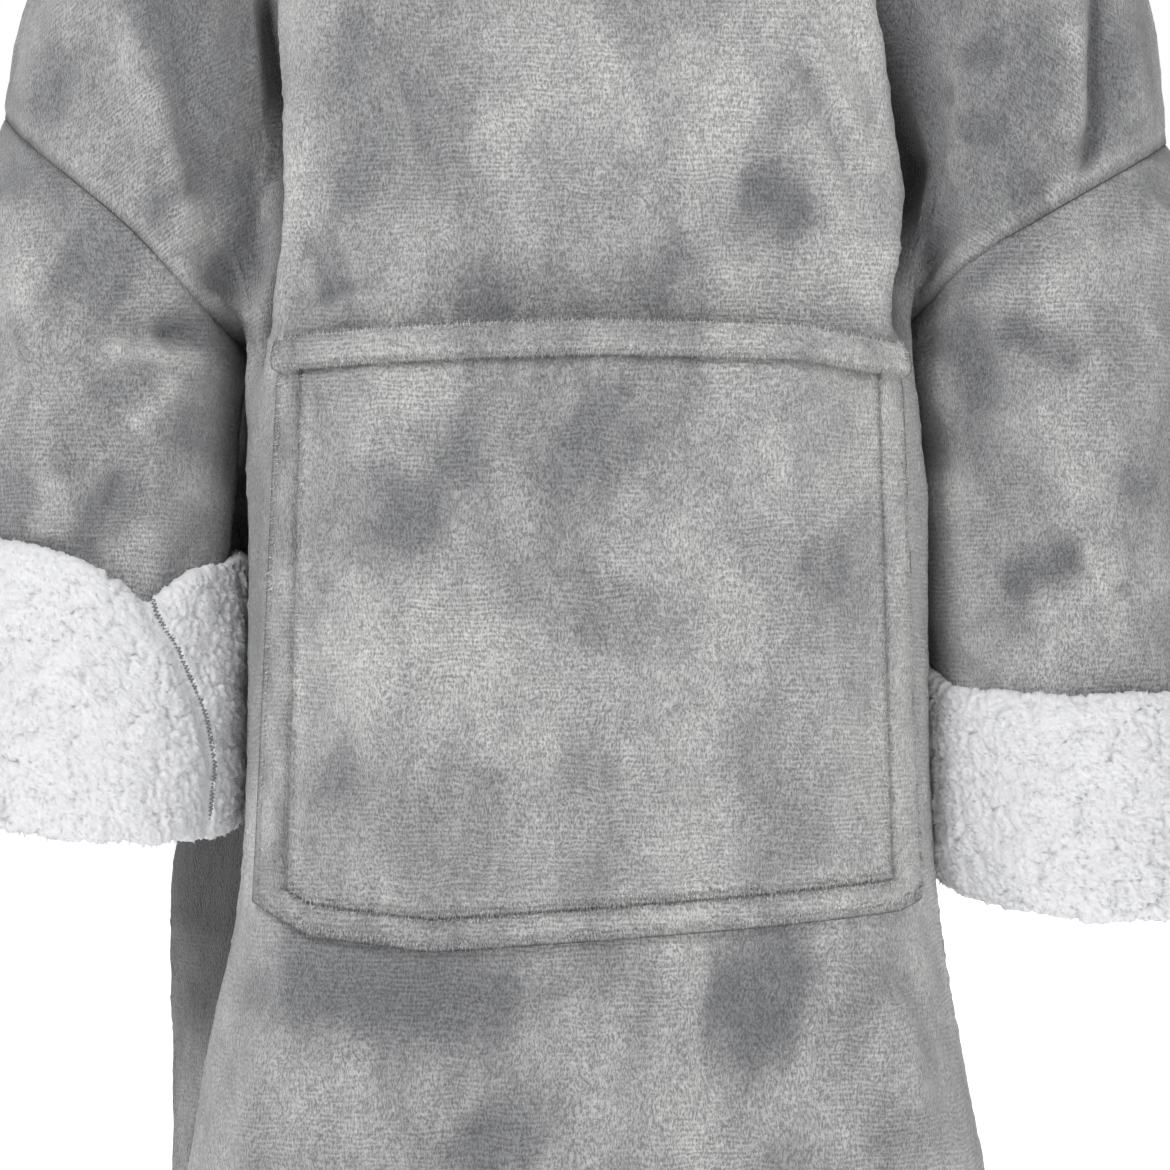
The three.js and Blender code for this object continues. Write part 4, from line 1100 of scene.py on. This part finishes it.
def hood_grid(side, fine):
    """Half of the hood: its columns start on the neck edge and rise to the top seam."""
    neck_steps = sum(ACROSS_STEPS[4:]) * fine
    halves = []
    for facing in (-1, 1):
        row = panel_grid(facing, fine)[0]
        middle = len(row) // 2
        right, left = row[middle:middle + neck_steps + 1], row[middle - neck_steps:middle + 1]
        halves.append(right if side > 0 else left[::-1])
    neck = np.concatenate([halves[0], halves[1][:-1][::-1]]) - [0, 0, HOOD_TUCK]
    neck[[0, -1], 0] = side * SEAM_GAP / 2
    neck[neck_steps, 1] = 0
    at = np.linspace(0, 4, len(neck))
    levels = [neck]
    for brow_x, brow_y, brow_z, half, back_y, back_z in HOOD:
        deep, rise = back_y - brow_y, back_z - brow_z
        controls = [(side * brow_x, brow_y, brow_z),
                    (side * (brow_x + (half - brow_x) * 0.62), brow_y + 0.22 * deep, brow_z + 0.22 * rise),
                    (side * half, brow_y + 0.52 * deep, brow_z + 0.52 * rise),
                    (side * half * 0.7, brow_y + 0.88 * deep, brow_z + 0.88 * rise),
                    (side * SEAM_GAP / 2, back_y, back_z)]
        levels.append(spline(np.array(controls, float)[:, None], at)[:, 0])
    grid = spline(np.array(levels), places(HOOD_STEPS, fine))
    inside = np.stack([0 * grid[..., 0], 0 * grid[..., 0] + 20, np.minimum(grid[..., 2], 180)], -1)
    normals = grid_normals(grid, inside)
    normals[:, -1, 0] = 0
    normals[-1, :, 0] = 0
    normals[0, 0, 0] = 0
    normals[-1, -1] = normals[-2, -2] * [0, 1, 1]
    return grid, unit(normals)


POCKET_SURFACE = {}


def pocket_piece():
    """The pocket: a puffed patch with a rolled hem, sunk stitched lines and a flange with an uneven tone;
    painted shade on the stitched lines and along the outer edge, and painted highlight on the flange, beside
    its stitches and on the hem.
    """
    base, gap, wall, side, low, hem = pocket_grid(FrontDepth(panel_grid(-1, FRONT_FINE)))
    normals = grid_normals(base, levelled(base))
    height, tone, _ = folds_on(base, normals)
    inside = ramp(side, 1, 1.5) * ramp(low, 1, 1.5) * ramp(hem, 1, 1.5)
    height = (height + swells(base, 50)) * inside
    rolled = smooth(hem * 3) * smooth((1 - hem) * 5)
    rolled = rolled * (0.9 * waves(base * [1, 1, 0.4], 34, 52) + 0.5 * waves(base, 12, 53))
    fluff = fuzz(gap.shape, 51) * smooth(side * 4)
    outer = base + normals * (gap + wall + height + rolled + fluff)[..., None]
    inner = base + normals * (gap + np.maximum(height, -gap * 0.6))[..., None]
    near = np.minimum(side, low)
    edge = np.minimum(near, hem)
    below_hem = hem > 0.9
    # Painted shade on the stitched lines
    stitched = (0.3 * bell(near - 1, 0.05) + 0.22 * bell(near - 1, 0.16)) * below_hem
    stitched = stitched + 0.6 * bell(hem - 1.03, 0.06) * (side > 0.8)
    # Painted shadow along the pocket's outer edge
    rim = 0.75 * bell(edge, 0.03) + 0.2 * bell(edge, 0.16)
    # The flange painted lighter on the right and darker on the left as painted sheen and shade, with uneven
    # patches along it
    flange = 0.4 * np.sign(base[..., 0]) + 0.4 * waves(base, 42, 54)
    # Painted highlight on the flange's middle, on the puffed cloth beside its stitches and on the hem's roll
    tone = tone + 0.45 * bell(near - 0.5, 0.3) + 0.3 * bell(near - 1.35, 0.25) * below_hem
    tone = tone + 0.35 * bell(hem - 0.8, 0.15) + flange * (side < 1)
    POCKET_SURFACE.update(points=outer, side=side, low=low, hem=hem)
    return wall_mesh("pocket_patch", outer, inner, looks, tone, np.minimum(stitched + rim, 1))


def hood_piece(name, side):
    """Half of the hood, plain, with sunk seams at the neck and along its top, and painted shade along them.
    """
    grid, normals = hood_grid(side, HOOD_FINE)
    edges = np.minimum(from_edge(grid, row=0), from_edge(grid, row=-1))
    edges = np.minimum(edges, from_edge(grid, column=-1))
    height = swells(grid, 60 + side) * smooth(edges / SEAM_CALM)
    outer = grid + normals * (height + fuzz(height.shape, 70 + side) - 0.5 * seam_dip(edges))[..., None]
    inner = grid + normals * (height - CLOTH)[..., None]
    return wall_mesh(f"hood_{name}_half", outer, inner, looks, 0 * height, 0.4 * bell(edges, 2))


pieces = {
    "front": panel_piece("front_panel", -1, FRONT_FINE, 10),
    "back": panel_piece("back_panel", 1, BACK_FINE, 20),
    "pocket": pocket_piece(),
}
for name, side in (("left", -1), ("right", 1)):
    pieces[f"sleeve_{name}"] = sleeve_piece(name, side)
    loops, gap, normals, open_side, line, line_normals = cuff_fleece(name, side)
    pieces[f"cuff_{name}"] = loop_mesh(f"cuff_{name}_fleece", loops, [fleece], {"gap": gap})
    sewn_thread(f"cuff_{name}_overlock", line, line_normals, thread)
    cuff_tops[name] = loops[open_side], normals[open_side]
    pieces[f"hood_{name}"] = hood_piece(name, side)


def tips(name, roots, leans, length, width, seed, look):
    """Tapered tufts of pile, each a slim cone from its root along its lean."""
    random = np.random.default_rng(seed)
    count = len(roots)
    leans = unit(unit(leans) + random.normal(scale=0.3, size=(count, 3)))
    across = unit(np.cross(leans, random.normal(size=(count, 3))))
    third = np.cross(leans, across)
    long = length * random.uniform(0.55, 1.2, (count, 1))
    wide = width * random.uniform(0.6, 1.2, (count, 1))
    corners = [roots + wide / 2 * (math.cos(a) * across + math.sin(a) * third) - leans * width
               for a in (0, 2 * math.pi / 3, 4 * math.pi / 3)]
    points = np.stack([*corners, roots + leans * long], 1).reshape(-1, 3)
    base = 4 * np.arange(count)[:, None]
    faces = np.concatenate([base + [0, 1, 3], base + [1, 2, 3], base + [2, 0, 3]])
    # Painted highlight: the cones lighter than the cloth, most at their tips
    tip_highlight = np.tile([0.2, 0.2, 0.2, 0.9], count)
    return mesh_object(name, points, faces, [look], None, {"down": -points[:, 2] * MM, "nap_and_painted_light": tip_highlight})


def along_line(line, spacing, jitter, seed):
    """Random places along a line of points."""
    random = np.random.default_rng(seed)
    lengths = lengths_of(line)
    at = random.uniform(0, lengths[-1], int(lengths[-1] / spacing))
    found = read_along(at, lengths, line)
    return found + random.normal(scale=jitter, size=found.shape)


def pocket_fringe():
    """Pile that leans over the pocket's stitched lines and edges."""
    points = POCKET_SURFACE["points"]
    middle_row, middle_column = points.shape[0] // 2, points.shape[1] // 2
    side, low, hem = (POCKET_SURFACE[key] for key in ("side", "low", "hem"))
    roots, leans = [], []

    def lean_over(line, lean, spacing, seed):
        found = along_line(line, spacing, 0.5, seed)
        roots.append(found)
        leans.append(np.tile(np.array(lean, float), (len(found), 1)))

    def column(value):
        """The column at a share of the flange's width from the left edge."""
        return int(np.argmin(np.abs(side[middle_row, :middle_column] - value)))

    def row(value):
        """The row at a share of the hem's width below the top."""
        return int(np.argmin(np.abs(hem[:middle_row, middle_column] - value)))

    def foot(value):
        """The row at a share of the flange's width above the foot."""
        return middle_row + int(np.argmin(np.abs(low[middle_row:, middle_column] - value)))

    top, bottom = row(1.1), foot(1.1)
    inner, outer = column(1.2), column(0.85)
    for key in (0.86, 0.93):
        along = points[row(key), column(0.2):-column(0.2) or None]
        lean_over(along, (0, -0.5, -1), 0.5, 200 + int(100 * key))
    lean_over(points[row(0.1), column(0.1):-column(0.1) or None], (0, -0.6, 1), 0.7, 203)
    lean_over(points[top:bottom, inner], (-0.8, -0.5, -0.7), 0.9, 210)
    lean_over(points[top:bottom, -1 - inner], (0.8, -0.5, -0.7), 0.9, 230)
    for key in (1.12, 1.25):
        lean_over(points[foot(key), inner:-1 - inner], (0, -0.6, -1), 0.5, 260 + int(10 * key))
    lean_over(points[foot(0.88), outer:-1 - outer], (0, -0.8, 0.5), 0.8, 266)
    for key in (0.14, 0.24):
        lean_over(points[foot(key), 2:-2], (0, -0.5, -1), 0.5, 270 + int(100 * key))
    edge = column(0.14)
    lean_over(points[2:-2, edge], (-1, -0.5, -0.4), 0.7, 281)
    lean_over(points[2:-2, -1 - edge], (1, -0.5, -0.4), 0.7, 282)
    roots, leans = np.concatenate(roots), np.concatenate(leans)
    return tips("pocket_fringe", roots, leans, PILE_LENGTH, PILE_WIDTH, 290, lit_pile_tips)


def cuff_fuzz(name, count=5500):
    """Curled ends of the fleece that stand out from a cuff."""
    tops, normals = cuff_tops[name]
    own = np.random.default_rng(300).integers(0, len(tops), count)
    roots, leans = tops[own] + 0.3 * normals[own], normals[own] - [0, 0, 0.3]
    piece = tips(f"cuff_{name}_fuzz", roots, leans, CURL_LENGTH, CURL_WIDTH, 301, fleece)
    return piece


def seam_line(points, normals, spacing=8):
    """Places just inside the cloth along a seam, about evenly spaced, with the cloth's normals there."""
    inside = points - normals * (CLOTH + BINDING + SEAM_GAP)
    lengths = lengths_of(inside)
    at = np.linspace(0, lengths[-1], int(lengths[-1] / spacing))
    return read_along(at, lengths, inside), unit(read_along(at, lengths, normals))


def binding(name, lines):
    """Bound seam allowances on the inside of the cloth, as closed round strips."""
    points, faces = [], []
    for line, out in lines:
        start = sum(len(strip) for strip in points)
        strip, own = tube(line, unit(np.cross(np.gradient(line, axis=0), out)), out, BINDING, 6)
        points.append(strip)
        faces += [[start + k for k in face] for face in own]
    piece = mesh_object(name, np.concatenate(points), faces, [thread])
    return piece


def panel_bindings():
    """The side and shoulder seams, along the front's own edges."""
    grid = panel_grid(-1, FRONT_FINE)
    normals = panel_normals(grid, FRONT_FINE)
    middle, neck = grid.shape[1] // 2, sum(ACROSS_STEPS[4:]) * FRONT_FINE
    low = sum(YOKE_STEPS) * FRONT_FINE
    shoulders = slice(4, middle - neck - 3), slice(middle + neck + 3, -4)
    lines = [seam_line(grid[low + 4:, k], normals[low + 4:, k]) for k in (0, -1)]
    lines += [seam_line(grid[0, part], normals[0, part]) for part in shoulders]
    return binding("front_seam_binding", lines)


def armhole_binding(name, side):
    """The seam round an armhole."""
    grids = [panel_grid(facing, SLEEVE_FINE) for facing in (-1, 1)]
    ring = armhole(*grids, side, SLEEVE_FINE)
    normals = unit(armhole(*[panel_normals(grid, SLEEVE_FINE) for grid in grids], side, SLEEVE_FINE))
    ring, normals = (np.concatenate([values, values[:1]]) for values in (ring, normals))
    return binding(f"sleeve_{name}_seam_binding", [seam_line(ring, normals)])


def hood_binding():
    """The hood's seams: where its halves meet, and where each meets the neck."""
    grid, normals = hood_grid(-1, HOOD_FINE)
    lines = [seam_line(grid[3:, -1], normals[3:, -1])]
    for side in (-1, 1):
        neck, out = (values[0] for values in hood_grid(side, HOOD_FINE))
        lines.append(seam_line(neck[3:-3], out[3:-3]))
    lines.append(seam_line(grid[-1, 4:-4], normals[-1, 4:-4]))
    return binding("hood_seam_binding", lines)


bindings = {"front": panel_bindings(), "hood": hood_binding(), "left": armhole_binding("left", -1),
            "right": armhole_binding("right", 1)}
fuzzes = {name: cuff_fuzz(name) for name in ("left", "right")}
fringe = pocket_fringe()
for node, piece in pieces.items():
    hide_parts(node)

camera_data = bpy.data.cameras.new("camera")
camera_data.sensor_width = 36
camera_data.lens = CAMERA_LENS
camera = bpy.data.objects.new("camera", camera_data)
camera.location = [value * MM for value in EYE]
camera.rotation_euler = (math.radians(90), 0, 0)
bpy.context.scene.collection.objects.link(camera)
bpy.context.scene.camera = camera


def soft_light(name, place, aim, size, power):
    """A square light, in metres and watts."""
    data = bpy.data.lights.new(name, "AREA")
    data.size, data.energy = size, power
    light = bpy.data.objects.new(name, data)
    light.location = place
    light.rotation_euler = (Vector(aim) - Vector(place)).to_track_quat("-Z", "Y").to_euler()
    bpy.context.scene.collection.objects.link(light)


LIGHTS = {
    "key": ((-1.2, -2.1, 1.4), (0, 0, -0.5), 0.8, 46),
    "fill": ((1.6, -2.7, 0.1), (0, 0, -0.55), 1.4, 16),
    "top": ((0.2, -0.4, 1.9), (0, 0, -0.3), 1.2, 8),
    "back": ((0.7, 2.8, 0.9), (0, 0, -0.4), 1.4, 34),
}
for name, light in LIGHTS.items():
    soft_light(name, *light)

white = Look("pale_floor")
white.shader.inputs["Base Color"].default_value = (0.85, 0.85, 0.85, 1)
white.shader.inputs["Roughness"].default_value = 0.9
white.shader.inputs["Emission Color"].default_value = (1, 1, 1, 1)
white.shader.inputs["Emission Strength"].default_value = 0.8
turns = np.linspace(0, 2 * np.pi, 96, endpoint=False)
rim = np.stack([FLOOR_HALF * np.cos(turns), FLOOR_HALF * np.sin(turns), np.full(len(turns), FLOOR_Z)], -1)
floor_mesh = bpy.data.meshes.new("floor")
floor_mesh.from_pydata((rim * MM).tolist(), [], [list(range(len(turns)))])
floor_mesh.materials.append(white.material)
floor = bpy.data.objects.new("floor", floor_mesh)
bpy.context.scene.collection.objects.link(floor)

world = bpy.data.worlds.new("studio")
world.use_nodes = True
air = world.node_tree
sky = air.nodes["Background"]
sky.inputs["Strength"].default_value = 0.22
backdrop = air.nodes.new("ShaderNodeBackground")
backdrop.inputs["Color"].default_value = sky.inputs["Color"].default_value = (1, 1, 1, 1)
seen = air.nodes.new("ShaderNodeLightPath")
choice = air.nodes.new("ShaderNodeMixShader")
air.links.new(seen.outputs["Is Camera Ray"], choice.inputs[0])
air.links.new(sky.outputs[0], choice.inputs[1])
air.links.new(backdrop.outputs[0], choice.inputs[2])
air.links.new(choice.outputs[0], air.nodes["World Output"].inputs["Surface"])
bpy.context.scene.world = world
bpy.context.scene.view_settings.view_transform = "Standard"
